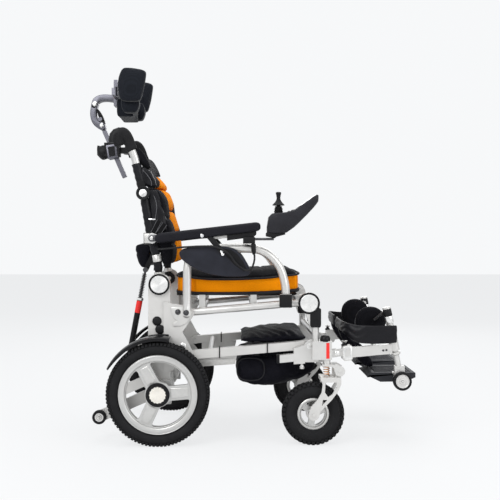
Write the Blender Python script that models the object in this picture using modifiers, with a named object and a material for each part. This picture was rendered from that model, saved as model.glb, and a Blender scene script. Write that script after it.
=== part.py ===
"""Folding power wheelchair: rear drive frame, front caster frame, folding seat, reclining back."""
import math

import bmesh
import bpy
from mathutils import Matrix, Vector

# Sizes are in metres. X runs forward, Y to the chair's left, Z up. Side planes are given as distances from
# the middle plane, and SIDES turns them into the right (-Y) and the left (+Y) copy.
SIDES = {"right": -1, "left": 1}
GAP = 0.0003
RUN = 0.0003

# Folding linkage, in the side plane (X, Z)
SEAT_REAR = (-0.190, 0.405)
SEAT_FRONT = (0.190, 0.438)
RAIL_FRONT = (0.194, 0.303)
RAIL_REAR = (
    SEAT_REAR[0] - SEAT_FRONT[0] + RAIL_FRONT[0],
    SEAT_REAR[1] - SEAT_FRONT[1] + RAIL_FRONT[1],
)

# Rear wheels and drive
WHEEL_STEPS = 24
CASTER_STEPS = 20
SMALL_STEPS = 12
DOME_STEPS = 16
TYRE_RADIUS = 0.159
TYRE_WIDTH = 0.057
TYRE_WALL = 0.037
RIM_RADIUS = TYRE_RADIUS - TYRE_WALL
RIM_BAND = 0.019
RIM_OPENING = RIM_RADIUS - RIM_BAND
RIM_WIDTH = 0.044
SPOKE_WIDTH = 0.045
SPOKE_ANGLES = (118, 245, 5)
HUB_RADIUS = 0.035
HUB_CAP_RADIUS = 0.025
AXLE_RADIUS = 0.008
WHEEL_Y = 0.2745
REAR_AXLE = (-0.278, TYRE_RADIUS)
FENDER_CLEARANCE = 0.011
FENDER_THICKNESS = 0.008
FENDER_START, FENDER_END = 78, 154
MOTOR_RADIUS = 0.038
MOTOR_LENGTH = 0.105

# Rear frame
COLUMN_IN, COLUMN_OUT = 0.205, 0.225
COLUMN_WIDTH = 0.070
BRACKET_OUT = 0.2320
PIN_IN, RAIL_PIN_IN = 0.196, 0.190
CROSS_TUBE_RADIUS = 0.013
STAY_RADIUS = 0.009
PIN_END = 0.003
RECLINE_PIVOT = (-0.279, 0.495)
DISC_RADIUS = 0.033
TIP_WHEEL = (-0.469, 0.075)
TIP_WHEEL_RADIUS = 0.022
TIP_WHEEL_WIDTH = 0.018
TIP_ARM_IN, TIP_ARM_OUT = 0.195, 0.209
STRUT_Y = -0.150
STRUT_FOOT = (-0.385, 0.245)
STRUT_HEAD = (-0.330, 0.538)
STRUT_BODY_RADIUS = 0.0095
STRUT_ROD_RADIUS = 0.004
STRUT_BODY_SHARE = 0.66
STRUT_HOLE_SHARE = 0.27
STRUT_ROD_SHARE = 0.42

# Lower rails and bags
RAIL_IN, RAIL_OUT = 0.192, 0.218
RAIL_HEIGHT = 0.027
PIVOT_PIN_RADIUS = 0.005
BAG_HALF_WIDTH = 0.186
STRAP_STARTS = (0.020, 0.112)
STRAP_WIDTH = 0.020

# Front frame
BLOCK_IN, BLOCK_OUT = 0.2195, 0.2445
CASTER_Y = 0.258
SWIVEL_X = 0.245
HOUSING_RADIUS = 0.0145
HOUSING_BOTTOM, HOUSING_TOP = 0.262, 0.321
POST_X = 0.211
POST_RADIUS = 0.0115
SOCKET_IN = 0.2365
FRONT_CROSS = (0.214, 0.336)
RECEIVER_HEIGHT = 0.024
LEG_PIVOT = (0.278, 0.280)
LEG_PIN_RADIUS = 0.004

# Casters
CASTER_RADIUS = 0.096
CASTER_WIDTH = 0.048
CASTER_RIM_RADIUS = 0.049
CASTER_AXLE = (0.202, CASTER_RADIUS)
SUSPENSION_PIVOT = (0.283, 0.230)
CHEEK_IN, CHEEK_OUT = 0.0240, 0.0300
FORK_IN, FORK_OUT = 0.0310, 0.0370
CROWN_BOTTOM, CROWN_TOP = 0.200, 0.212
SPRING_RADIUS = 0.0090
SPRING_WIRE = 0.0017
SPRING_CURLS = 4
SPRING_POINTS = 8
HEAD_PLATE = 0.006
SWIVEL_STEM_RADIUS = 0.008
CASTER_AXLE_RADIUS = 0.006

# Leg rests
LEG_Y = 0.232
LEG_TOP = (0.436, 0.423)
LEG_BOTTOM = (0.474, 0.236)
LEG_TUBE_RADIUS = 0.0115
LEG_FOOT_RADIUS = 0.0095
LEG_WHEEL = (0.482, 0.194)
LEG_WHEEL_RADIUS = 0.029
LEG_WHEEL_WIDTH = 0.016
LEG_BAR_HEIGHT = 0.030
LEG_BAR_LINE = [(0.322, 0.2815), (0.452, 0.2935)]
LEG_BAR_WIDTH = 0.023
FOOT_TOP = 0.216
FOOT_THICKNESS = 0.030
FOOT_PIN_RADIUS = 0.0040
FOOT_OUT, FOOT_IN = 0.2185, 0.050
FOOT_REAR, FOOT_FRONT = 0.378, 0.531
CALF_CENTRE = (0.395, 0.371)
CALF_RADIUS = 0.050
CALF_IN, CALF_OUT = 0.150, 0.187
STRAP_THICKNESS = 0.006

# Seat
SEAT_TUBE_RADIUS = 0.012
SEAT_TUBE_Y = 0.207
SEAT_PIN_RADIUS = 0.008
SEAT_SHARES = (0.12, 0.55, 0.93)
SEAT_CROSS_RADIUS = 0.010
CUSHION_REAR, CUSHION_FRONT = -0.236, 0.172
CUSHION_BOTTOM = 0.462
CUSHION_THICKNESS = 0.068
CUSHION_HALF_WIDTH = 0.2045
NOTCH_FRONT = -0.175
NOTCH_IN = 0.1775
ARCH_Y = 0.250
ARCH_RADIUS = 0.013
SOCKET_X = 0.118
GUARD_IN, GUARD_OUT = 0.2635, 0.2720

# Back
CANE_Y = 0.190
CANE_RADIUS = 0.012
BACK_HUB_RADIUS = 0.022
BACK_CROSS_RADIUS = 0.008
RECLINE_PIN_RADIUS = 0.008
BACK_HUB_IN, BACK_HUB_OUT = 0.179, 0.2045
BACK_FOLD_PIVOT = (-0.331, 0.783)
BACK_CUSHION_BOTTOM = 0.556
BACK_CUSHION_TOP = 0.800
UPPER_CUSHION_TOP = 0.932
BACK_HALF_WIDTH = 0.205
GRIP_RADIUS = 0.0160
CANE_EYE_OUT = CANE_Y + 0.016
ARM_PIVOT = (-0.303, 0.640)
COLLAR_RADIUS = 0.017
COLLAR_IN, COLLAR_OUT = 0.2065, 0.2215
COLLAR_PIN_RADIUS = 0.006
COLLAR_WALL = 0.005
SUPPORT_IN = 0.2095
SUPPORT_REACH, SUPPORT_HEIGHT = 0.064, 0.024

# Arm pads
PAD_REAR = (-0.287, 0.638)
PAD_FRONT = (0.036, 0.676)
PAD_THICKNESS = 0.030
PAD_IN, PAD_OUT = 0.2300, 0.2860
PAD_PLATE_IN, PAD_PLATE_OUT = 0.2225, 0.2300
PAD_STRUT_IN, PAD_STRUT_OUT = 0.2725, 0.2775

# Controller, on the right arm
POD_Y = 0.262
POD_HALF_WIDTH = 0.034
STICK_X = 0.095
STICK_PIVOT = (0.095, 0.7045)
GIMBAL_PIN_RADIUS = 0.0016
BUTTON_PLACE = (0.147, 0.727)
BUTTON_HALF = 0.006
BUTTON_FLOOR = 0.7225
WELL_RADIUS = 0.020
CABLE_RADIUS = 0.003

# Headrest
STEM_LOW = (-0.4156, 0.848)
STEM_HIGH = (-0.493, 1.024)
STEM_WIDTH = 0.015
STEM_HALF_DEPTH = 0.011
LINK_BAR = 0.013
CLAMP_CENTRE = (-0.457, 0.942)
LINK_PIVOT = (-0.5165, 1.097)
HEAD_BRACKET = (-0.443, 1.120)
HEAD_LEVER = (-0.497, 1.046)
HEAD_PIN_RADIUS = 0.004
LEVER_PIN_RADIUS = 0.003
WING_HINGE = (-0.432, 0.104)
WING_POST_RADIUS = 0.006
WING_Y = 0.120
WING_THICKNESS = 0.034

# Smaller places and sizes, in the side plane (X, Z) unless named otherwise
TIP_ARM_TOP, TIP_ARM_HEIGHT = (-0.281, 0.1575), 0.036
STAY_TOP, STAY_HEIGHT = (-0.300, 0.200), 0.018
GEARBOX_X, GEARBOX_Z, GEARBOX_OUT = (-0.318, -0.240), (0.121, 0.197), 0.2440
CROSS_RODS = [(-0.120, 0.2757), (0.100, 0.2948)]
SCREW_LOW, SCREW_HEAD_TOP, SCREW_HIGH = 0.230, 0.237, 0.250
SCREW_RADIUS, SCREW_HEAD_RADIUS = 0.004, 0.0075
TONGUE_END, TONGUE_HEIGHT = (0.310, 0.281), 0.022
KNOB_X = 0.304
FOOT_BLOCK_X, FOOT_BLOCK_Z, FOOT_BLOCK_HALF = (0.460, 0.492), (0.180, 0.240), 0.0095
ARM_BOX_X, ARM_BOX_Z, ARM_BOX_OUT = (-0.330, -0.2985), (0.623, 0.657), 0.2060
STRUT_LUG_START, STRUT_LUG_HEIGHT = (-0.2995, 0.600), 0.016
GRIP_CROSS = (-0.3800, 0.940)
FOLD_EAR_TOP, FOLD_EAR_HEIGHT = (-0.3385, 0.812), 0.024
PAD_PLATE_HEIGHT = 0.022
PAD_STRUT_FOOT, PAD_STRUT_HEIGHT = (-0.0795, 0.594), 0.016
PAD_STRUT_BOLT, PAD_BOLT_RADIUS = (-0.0812, 0.600), 0.005
POD_BAR_X, POD_BAR_Z = (-0.013, 0.081), (0.6335, 0.6415)
POD_FOOT_X, POD_FOOT_Z = (0.072, 0.086), (0.6315, 0.6640)
GLAND_X, GLAND_Z = (-0.015, 0.022), (0.6235, 0.6440)

# Places worked out from the sizes above
FOOT_HINGE_Y = FOOT_OUT + RUN
LEG_WHEEL_Y = LEG_Y + 0.020
HEAD_TOP = HOUSING_BOTTOM - 0.0115

# Outlines and lines in the side plane (X, Z)
BLOCK_FOOT = [
    (0.144, 0.2455), (0.179, 0.248), (0.179, 0.252), (0.222, 0.2525), (0.222, 0.262), (0.2605, 0.263),
    (0.2605, 0.320), (0.200, 0.321),
]
RECEIVER_LINE = [(0.092, 0.2605), (0.262, 0.2785)]
SOCKET_FOOT = [(0.194, 0.364), (0.226, 0.364), (0.226, 0.420)]
TRAY_OUTLINE = [(-0.160, 0.262), (-0.160, 0.238), (-0.150, 0.232), (-0.040, 0.240), (-0.034, 0.268)]
SEAT_BAG_OUTLINE = [
    (-0.027, 0.3140), (-0.0255, 0.3190), (0.000, 0.3250), (0.060, 0.3300), (0.130, 0.3350), (0.180, 0.3370),
    (0.194, 0.3310), (0.192, 0.3225), (0.150, 0.3125), (0.080, 0.3080), (0.030, 0.3055),
]
UNDER_BAG_OUTLINE = [
    (-0.037, 0.258), (-0.036, 0.190), (-0.010, 0.174), (0.020, 0.168), (0.088, 0.168), (0.150, 0.182),
    (0.200, 0.200), (0.222, 0.222), (0.215, 0.258), (0.150, 0.272), (0.060, 0.266),
]
POUCH_OUTLINE = [
    (-0.3026, 0.612), (-0.3090, 0.622), (-0.3560, 0.616), (-0.3740, 0.590), (-0.3760, 0.560), (-0.3600, 0.546),
    (-0.3150, 0.544), (-0.3026, 0.590),
]
FORK_REAR_EDGE = [(0.194, 0.122), (0.212, 0.142), (0.226, 0.166), (0.229, 0.190)]
FORK_FRONT_EDGE = [
    (0.2235, CROWN_TOP - 0.0005), (0.2855, CROWN_TOP - 0.0005), (0.2865, 0.192), (0.276, 0.168),
    (0.256, 0.142), (0.236, 0.122), (0.222, 0.106),
]
FORK_UPPER_HOLE = [
    (0.238, 0.197), (0.272, 0.197), (0.273, 0.184), (0.258, 0.160), (0.246, 0.152), (0.236, 0.166),
]
FORK_LOWER_HOLE = [(0.230, 0.144), (0.243, 0.143), (0.226, 0.124)]
LEG_CLAMP_OUTLINE = [
    (0.296, 0.262), (0.302, 0.256), (0.324, 0.258), (0.328, 0.264), (0.328, 0.301), (0.322, 0.305),
    (0.300, 0.303), (0.296, 0.298),
]
HEEL_STRAP_LINE = [(0.303, 0.345), (0.330, 0.300), (0.372, 0.240)]
CANE_LINE = [
    (-0.281, 0.494), (-0.2887, 0.581), (-0.3065, 0.641), (-0.3310, 0.783), (-0.3603, 0.898), (-0.3760, 0.940),
]
FACE_LINE = [
    (-0.2160, 0.556), (-0.2190, 0.610), (-0.2250, 0.663), (-0.2445, 0.727), (-0.2477, 0.762), (-0.2668, 0.813),
    (-0.3052, 0.861), (-0.3659, 0.932),
]
HOOK_LINE = [(-0.3775, 0.9425), (-0.3930, 0.968), (-0.4110, 0.979), (-0.4260, 0.968), (-0.4290, 0.945)]
ARCH_LINE = [
    (-0.190, 0.405), (-0.1895, 0.540), (-0.180, 0.572), (-0.150, 0.596), (-0.100, 0.606), (0.0, 0.608),
    (0.040, 0.602), (0.0714, 0.584), (0.0981, 0.552), (0.1118, 0.515), (0.118, 0.479), (0.118, 0.434),
]
GUARD_OUTLINE = [
    (-0.2137, 0.5944), (-0.2060, 0.6040), (-0.1900, 0.6090), (-0.1108, 0.6160), (-0.060, 0.6150),
    (-0.0163, 0.6115), (0.004, 0.585), (0.0089, 0.5372), (0.002, 0.524), (-0.0098, 0.5204), (-0.060, 0.521),
    (-0.1074, 0.5253), (-0.1714, 0.5490), (-0.1988, 0.5664), (-0.2130, 0.5800),
]
POD_OUTLINE = [
    (0.0577, 0.6584), (0.0661, 0.7106), (0.072, 0.7160), (0.1202, 0.7209), (0.1420, 0.7270), (0.2125, 0.7760),
    (0.2178, 0.7730), (0.2169, 0.7514), (0.1556, 0.6839), (0.1168, 0.6569),
]
HEAD_LINK_LINE = [LINK_PIVOT, (-0.500, 1.117), (-0.475, 1.124), (-0.448, 1.121)]
CAM_LEVER_LINE = [(-0.4985, 1.046), (-0.488, 1.060), (-0.486, 1.074)]

# The calf strap in plan (X, distance from the middle plane)
CALF_STRAP_LINE = [
    (0.466, 0.2497), (0.420, 0.2497), (0.370, 0.2485), (0.330, 0.2350), (0.309, 0.2050), (0.3035, 0.160),
    (0.3035, 0.030),
]

# The controller's cable (X, Y, Z)
CABLE_ROUTE = [
    (0.0165, -0.2715, 0.6232), (0.0175, -0.2725, 0.6050), (0.0200, -0.2790, 0.5750), (0.0090, -0.2830, 0.5450),
    (-0.0130, -0.2840, 0.5440), (-0.0400, -0.2835, 0.5660), (-0.0570, -0.2835, 0.5890),
    (-0.0950, -0.2835, 0.6120), (-0.1600, -0.2800, 0.6150), (-0.2800, -0.2700, 0.6060),
]

# Turned profiles: radius, height above the stick's base
STICK_BOTTOM = 0.690
STICK_PROFILE = [
    (0, 0.093), (0.006, 0.092), (0.008, 0.087), (0.0075, 0.077), (0.003, 0.070), (0.003, 0.056),
    (0.0195, 0.052), (0.0195, 0.049), (0.0065, 0.046), (0.011, 0.038), (0.013, 0.033), (0.013, 0.0295),
    (0.003, 0.0295), (0.003, 0.010), (0, 0.010),
]
GIMBAL_PROFILE = [(0.009, 0.010), (0.016, 0.010), (0.016, 0.0185), (0.009, 0.0185)]

PARTS = None
GUIDES = None
EMPTIES = {}
MATERIALS = {}


def clear_scene():
    for obj in list(bpy.data.objects):
        bpy.data.objects.remove(obj, do_unlink=True)


def new_collection(name):
    made = bpy.data.collections.new(name)
    bpy.context.scene.collection.children.link(made)
    return made


def material(name, colour, roughness, metallic=0.0):
    made = bpy.data.materials.new(name)
    made.use_nodes = True
    shader = made.node_tree.nodes["Principled BSDF"]
    shader.inputs["Base Color"].default_value = (*colour, 1)
    shader.inputs["Roughness"].default_value = roughness
    shader.inputs["Metallic"].default_value = metallic
    made.diffuse_color = (*colour, 1)
    MATERIALS[name] = made


def make_materials():
    material("tyre_rubber", (0.02, 0.02, 0.02), 0.8)
    material("silver_metal", (0.82, 0.81, 0.78), 0.32, 0.9)
    material("cream_paint", (0.80, 0.75, 0.66), 0.45, 0.2)
    material("dark_plastic", (0.05, 0.05, 0.055), 0.5)
    material("black_fabric", (0.02, 0.02, 0.022), 0.9)
    material("orange_fabric", (0.95, 0.36, 0.01), 0.8)
    material("copper_spring", (0.60, 0.33, 0.16), 0.35, 1.0)
    material("grey_anodised", (0.28, 0.28, 0.30), 0.4, 0.8)
    material("grey_paint", (0.30, 0.30, 0.31), 0.5)


def span(side, inner, outer):
    """The Y range of a piece that lies between two distances from the middle plane."""
    return tuple(sorted((side * inner, side * outer)))


def to_guides(obj):
    for owner in list(obj.users_collection):
        owner.objects.unlink(obj)
    GUIDES.objects.link(obj)
    obj.hide_render = True
    obj.display_type = "WIRE"
    return obj


def apply_place(obj):
    """The object's place and scale moved into its mesh, with its normals facing out."""
    mesh = obj.data
    mesh.transform(obj.matrix_world)
    obj.matrix_world = Matrix()
    work = bmesh.new()
    work.from_mesh(mesh)
    bmesh.ops.remove_doubles(work, verts=work.verts, dist=0.00002)
    bmesh.ops.recalc_face_normals(work, faces=work.faces)
    work.to_mesh(mesh)
    work.free()
    return to_guides(obj)


def evaluated(obj):
    """A new mesh object with the object's curve or modifiers made into faces, in place of the object."""
    bpy.context.view_layer.update()
    graph = bpy.context.evaluated_depsgraph_get()
    mesh = bpy.data.meshes.new_from_object(obj.evaluated_get(graph))
    made = bpy.data.objects.new(obj.name, mesh)
    GUIDES.objects.link(made)
    made.matrix_world = obj.matrix_world
    bpy.data.objects.remove(obj, do_unlink=True)
    return apply_place(made)


def box(x, y, z):
    middle = [(low + high) / 2 for low, high in (x, y, z)]
    bpy.ops.mesh.primitive_cube_add(size=1, location=middle)
    obj = bpy.context.object
    obj.scale = [abs(high - low) for low, high in (x, y, z)]
    bpy.context.view_layer.update()
    return apply_place(obj)


def sides_for(radius):
    """How many sides a round piece of this radius has."""
    for limit, sides in ((0.0065, 6), (0.0125, 8), (0.018, 10), (0.025, 12)):
        if radius <= limit:
            return sides
    return 14


def rod(start, end, radius, sides=None, end_radius=None):
    start, end = Vector(start), Vector(end)
    sides = sides or sides_for(radius)
    along = end - start
    bpy.ops.mesh.primitive_cone_add(
        vertices=sides,
        radius1=radius,
        radius2=radius if end_radius is None else end_radius,
        depth=along.length,
        location=(start + end) / 2,
        rotation=along.to_track_quat("Z", "Y").to_euler(),
    )
    bpy.context.view_layer.update()
    return apply_place(bpy.context.object)


def pin(place, y, radius, sides=None):
    """A cylinder along Y at a side-plane place."""
    return rod((place[0], y[0], place[1]), (place[0], y[1], place[1]), radius, sides)


def hole(start, end, radius):
    """A cutter whose flat sides leave a round pin of this radius free to turn."""
    sides = sides_for(radius)
    made = rod(start, end, (radius + RUN) / math.cos(math.pi / sides), sides)
    base = Vector(start)
    turn = Matrix.Rotation(math.pi / sides, 4, (Vector(end) - base).normalized())
    made.data.transform(Matrix.Translation(base) @ turn @ Matrix.Translation(-base))
    return made


def bore(place, y, radius):
    """A hole along Y at a side-plane place, for a pin of this radius."""
    return hole(at(place, y[0]), at(place, y[1]), radius)


def plate(points, y):
    """A flat outline in the side plane, as thick as the Y range."""
    curve = bpy.data.curves.new("outline", "CURVE")
    curve.dimensions = "2D"
    curve.fill_mode = "BOTH"
    curve.extrude = abs(y[1] - y[0]) / 2
    spline = curve.splines.new("POLY")
    spline.points.add(len(points) - 1)
    for point, (px, pz) in zip(spline.points, points):
        point.co = (px, pz, 0, 1)
    spline.use_cyclic_u = True
    obj = bpy.data.objects.new("outline", curve)
    GUIDES.objects.link(obj)
    obj.rotation_euler = (math.pi / 2, 0, 0)
    obj.location = (0, (y[0] + y[1]) / 2, 0)
    return evaluated(obj)


def flat(points, z):
    """A flat outline in plan (X, Y), as thick as the Z range."""
    made = plate([(px, -py) for px, py in points], z)
    made.data.transform(Matrix.Rotation(math.pi / 2, 4, "X"))
    return made


def arc(centre, radius, start, end, count):
    """Points on a circle from one angle to another, in degrees."""
    angles = [math.radians(start + (end - start) * i / (count - 1)) for i in range(count)]
    return [(centre[0] + radius * math.cos(a), centre[1] + radius * math.sin(a)) for a in angles]


def smooth(points, per_run):
    """Points of a smooth curve through the given points."""
    ends = [Vector(points[0]) * 2 - Vector(points[1]), *map(Vector, points)]
    ends.append(Vector(points[-1]) * 2 - Vector(points[-2]))
    out = []
    for i in range(1, len(ends) - 2):
        a, b, c, d = ends[i - 1 : i + 3]
        for step in range(per_run):
            t = step / per_run
            out.append(
                0.5 * (2 * b + (c - a) * t + (2 * a - 5 * b + 4 * c - d) * t**2
                       + (3 * b - a - 3 * c + d) * t**3)
            )
    out.append(Vector(points[-1]))
    return out


def pipe(points, radius, resolution=2):
    """A round tube along the points."""
    curve = bpy.data.curves.new("route", "CURVE")
    curve.dimensions = "3D"
    curve.bevel_depth = radius
    curve.bevel_resolution = resolution
    curve.use_fill_caps = True
    spline = curve.splines.new("POLY")
    spline.points.add(len(points) - 1)
    for point, place in zip(spline.points, points):
        point.co = (*place, 1)
    obj = bpy.data.objects.new("route", curve)
    GUIDES.objects.link(obj)
    return evaluated(obj)


def turned(place, y, profile, steps):
    """A solid turned about an axis along Y. The profile holds (radius, distance along Y from y)."""
    mesh = bpy.data.meshes.new("profile")
    closed = profile[0][0] > 0
    edges = [(i, i + 1) for i in range(len(profile) - 1)]
    if closed:
        edges.append((len(profile) - 1, 0))
    mesh.from_pydata([(r, 0, along) for r, along in profile], edges, [])
    obj = bpy.data.objects.new("turned", mesh)
    GUIDES.objects.link(obj)
    screw = obj.modifiers.new("turn", "SCREW")
    screw.steps = steps
    screw.render_steps = steps
    screw.use_merge_vertices = True
    screw.merge_threshold = 0.00005
    obj.rotation_euler = (-math.pi / 2, 0, 0)
    obj.location = (place[0], y, place[1])
    return evaluated(obj)


def boolean(obj, other, operation):
    modifier = obj.modifiers.new(operation.lower(), "BOOLEAN")
    modifier.operation = operation
    modifier.solver = "EXACT"
    modifier.object = other


def solid(name, body, material_name, pieces, cuts=()):
    """One named object of a body: its pieces joined, its cuts taken out, its origin on the joint's axis."""
    base = pieces[0]
    for piece in pieces[1:]:
        boolean(base, piece, "UNION")
    for cut in cuts:
        boolean(base, cut, "DIFFERENCE")
    made = evaluated(base)
    for used in [*pieces[1:], *cuts]:
        bpy.data.objects.remove(used, do_unlink=True)
    GUIDES.objects.unlink(made)
    PARTS.objects.link(made)
    made.hide_render = False
    made.display_type = "TEXTURED"
    made.name = name
    made.data.name = name
    made.data.materials.clear()
    made.data.materials.append(MATERIALS[material_name])
    pivot = EMPTIES[body]["pivot"]
    made.data.transform(Matrix.Translation(-pivot))
    made.parent = EMPTIES[body]["empty"]
    made.data.shade_smooth()
    made.data.set_sharp_from_angle(angle=math.radians(35))
    return made


def body(name, parent, pivot):
    """An empty on the joint's axis, which carries the body's objects."""
    pivot = Vector(pivot)
    empty = bpy.data.objects.new("body_" + name, None)
    PARTS.objects.link(empty)
    empty.empty_display_size = 0.02
    if parent:
        empty.parent = EMPTIES[parent]["empty"]
        empty.location = pivot - EMPTIES[parent]["pivot"]
    else:
        empty.location = pivot
    EMPTIES[name] = {"empty": empty, "pivot": pivot}


def at(place, y=0.0):
    return (place[0], y, place[1])


def make_bodies():
    body("rear", None, (0, 0, 0))
    body("rails", "rear", at(RAIL_REAR))
    body("front", "rails", at(RAIL_FRONT))
    body("seat", "rear", at(SEAT_REAR))
    body("back", "rear", at(RECLINE_PIVOT))
    body("upper_back", "back", at(BACK_FOLD_PIVOT))
    body("strut", "rear", at(STRUT_FOOT, STRUT_Y))
    body("strut_rod", "strut", at(STRUT_HEAD, STRUT_Y))
    body("headrest_stem", "upper_back", at(CLAMP_CENTRE))
    body("headrest_link", "headrest_stem", at(STEM_HIGH))
    body("headrest_head", "headrest_link", at(LINK_PIVOT))
    body("headrest_lever", "headrest_link", at(HEAD_LEVER))
    for name, side in SIDES.items():
        body("rear_wheel_" + name, "rear", at(REAR_AXLE, side * WHEEL_Y))
        body("tip_wheel_" + name, "rear", at(TIP_WHEEL, side * TIP_ARM_OUT))
        body("caster_head_" + name, "front", (SWIVEL_X, side * CASTER_Y, HOUSING_BOTTOM))
        body("caster_fork_" + name, "caster_head_" + name, at(SUSPENSION_PIVOT, side * CASTER_Y))
        body("caster_wheel_" + name, "caster_fork_" + name, at(CASTER_AXLE, side * CASTER_Y))
        body("legrest_" + name, "front", at(LEG_PIVOT, side * LEG_Y))
        body("footplate_" + name, "legrest_" + name, (FOOT_REAR, side * FOOT_HINGE_Y, FOOT_TOP))
        body("leg_wheel_" + name, "legrest_" + name, at(LEG_WHEEL, side * LEG_WHEEL_Y))
        body("arm_collar_" + name, "back", at(ARM_PIVOT, side * COLLAR_OUT))
        body("arm_" + name, "arm_collar_" + name, at(ARM_PIVOT, side * PAD_PLATE_OUT))
        body("wing_" + name, "headrest_head", (WING_HINGE[0], side * WING_HINGE[1], HEAD_BRACKET[1]))
    body("stick_side", "arm_right", at(STICK_PIVOT, -POD_Y))
    body("stick", "stick_side", at(STICK_PIVOT, -POD_Y))
    body("button", "arm_right", at(BUTTON_PLACE, -POD_Y))


def column_outline():
    x, z = RECLINE_PIVOT
    half = COLUMN_WIDTH / 2
    waist, foot = 0.300, 0.032
    return [
        *arc((x, z), half, 0, 180, 8),
        (x - half, waist),
        *arc(REAR_AXLE, foot, 180, 360, 8),
        (x + half, waist),
    ]


def bracket_outline():
    """The arm of the column that carries the seat's and the rails' rear pivots."""
    x = RECLINE_PIVOT[0] + COLUMN_WIDTH / 2 - 0.02
    return [
        (x, 0.440),
        *arc(SEAT_REAR, 0.021, 75, -40, 6),
        (-0.206, 0.345),
        *arc(RAIL_REAR, 0.019, 50, -110, 7),
        (x, 0.215),
    ]


def rear_frame():
    beam_x, beam_z, low_x, low_z = (-0.300, -0.260), (0.335, 0.361), -0.245, 0.232
    wide = COLUMN_OUT - 0.01
    pieces = [
        box(beam_x, (-wide, wide), beam_z),
        rod((low_x, -wide, low_z), (low_x, wide, low_z), CROSS_TUBE_RADIUS),
        rod(at(STRUT_FOOT, -TIP_ARM_OUT), at(STRUT_FOOT, TIP_ARM_OUT), STAY_RADIUS),
        box((STRUT_FOOT[0] - 0.006, STRUT_FOOT[0] + 0.006), (STRUT_Y + 0.0105, STRUT_Y + 0.0155),
            (STRUT_FOOT[1], STRUT_FOOT[1] + 0.030)),
    ]
    cuts = []
    for side in SIDES.values():
        pieces += rear_side(side)
        cuts.append(pin(REAR_AXLE, span(side, TIP_ARM_IN - 0.01, COLUMN_OUT + 0.01), AXLE_RADIUS + 0.004))
    solid("rear_frame", "rear", "cream_paint", pieces, cuts)


def rear_side(side):
    """A column with its bracket, its pivot pins, its disc and its anti-tip arm."""
    end = BRACKET_OUT + PIN_END
    tip_end = TIP_ARM_OUT + TIP_WHEEL_WIDTH + 0.004
    return [
        plate(column_outline(), span(side, COLUMN_IN, COLUMN_OUT)),
        plate(bracket_outline(), span(side, COLUMN_OUT - 0.004, BRACKET_OUT)),
        pin(SEAT_REAR, span(side, PIN_IN, end), PIVOT_PIN_RADIUS),
        pin(RAIL_REAR, span(side, RAIL_PIN_IN, end), PIVOT_PIN_RADIUS),
        pin(RECLINE_PIVOT, span(side, BACK_HUB_IN, COLUMN_OUT + 0.002), RECLINE_PIN_RADIUS),
        pin(RECLINE_PIVOT, span(side, COLUMN_OUT - 0.001, end), DISC_RADIUS),
        tip_arm(side),
        pin(TIP_WHEEL, span(side, TIP_ARM_OUT - 0.002, tip_end), 0.004),
        rear_stay(side),
    ]


def bar_outline(start, end, height, round_start=True, round_end=True):
    """A straight bar in the side plane with round or square ends."""
    angle = math.degrees(math.atan2(end[1] - start[1], end[0] - start[0]))
    first = arc(start, height / 2, angle + 90, angle + 270, 6 if round_start else 2)
    last = arc(end, height / 2, angle - 90, angle + 90, 6 if round_end else 2)
    return first + last


def tip_arm(side):
    points = bar_outline(TIP_WHEEL, TIP_ARM_TOP, TIP_ARM_HEIGHT)
    return plate(points, span(side, TIP_ARM_IN, TIP_ARM_OUT))


def rear_stay(side):
    points = bar_outline(STRUT_FOOT, STAY_TOP, STAY_HEIGHT)
    return plate(points, span(side, TIP_ARM_IN + 0.002, COLUMN_IN + 0.005))


def fender(name, side):
    inner = TYRE_RADIUS + FENDER_CLEARANCE
    outer = inner + FENDER_THICKNESS
    start, end = FENDER_START, FENDER_END
    crown = arc(REAR_AXLE, outer, start, end, 9) + arc(REAR_AXLE, inner, end - 2, start, 9)
    lip = arc(REAR_AXLE, outer + 0.001, start - 0.5, end + 0.5, 9)
    lip += arc(REAR_AXLE, inner - 0.005, end - 4, start - 0.5, 9)
    tab = arc(REAR_AXLE, outer - 0.003, start + 1, 108, 5) + arc(REAR_AXLE, 0.140, 104, start + 3, 5)
    low, high = COLUMN_OUT + GAP, WHEEL_Y + TYRE_WIDTH / 2 - 0.002
    free_x = RECLINE_PIVOT[0] + COLUMN_WIDTH / 2 - 0.0206
    free = box((free_x, 0), span(side, COLUMN_OUT, BRACKET_OUT + 0.004), (0.10, 0.50))
    solid(
        "fender_" + name, "rear", "dark_plastic",
        [
            plate(crown, span(side, BRACKET_OUT + 0.0015, high)),
            plate(lip, span(side, high - 0.003, high + 0.0015)),
            plate(tab, span(side, low, BRACKET_OUT + 0.0045)),
        ],
        [free],
    )


def motor(name, side):
    inner = TIP_ARM_IN - GAP
    solid(
        "motor_" + name, "rear", "grey_paint",
        [
            pin(REAR_AXLE, span(side, inner - MOTOR_LENGTH, inner), MOTOR_RADIUS),
            pin(REAR_AXLE, span(side, inner - MOTOR_LENGTH - 0.012, inner - MOTOR_LENGTH + 0.002), 0.024),
            pin(REAR_AXLE, span(side, inner - 0.004, WHEEL_Y + 0.016), AXLE_RADIUS),
            box(GEARBOX_X, span(side, COLUMN_OUT + GAP, GEARBOX_OUT), GEARBOX_Z),
        ],
    )


def tyre_profile(radius, bead, width):
    """Half widths and radii round a tyre's section, as a closed loop."""
    half = width / 2
    return [
        (bead, half * 0.62),
        (bead + (radius - bead) * 0.45, half),
        (radius * 0.965, half * 0.93),
        (radius, half * 0.45),
        (radius, -half * 0.45),
        (radius * 0.965, -half * 0.93),
        (bead + (radius - bead) * 0.45, -half),
        (bead, -half * 0.62),
    ]


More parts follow.
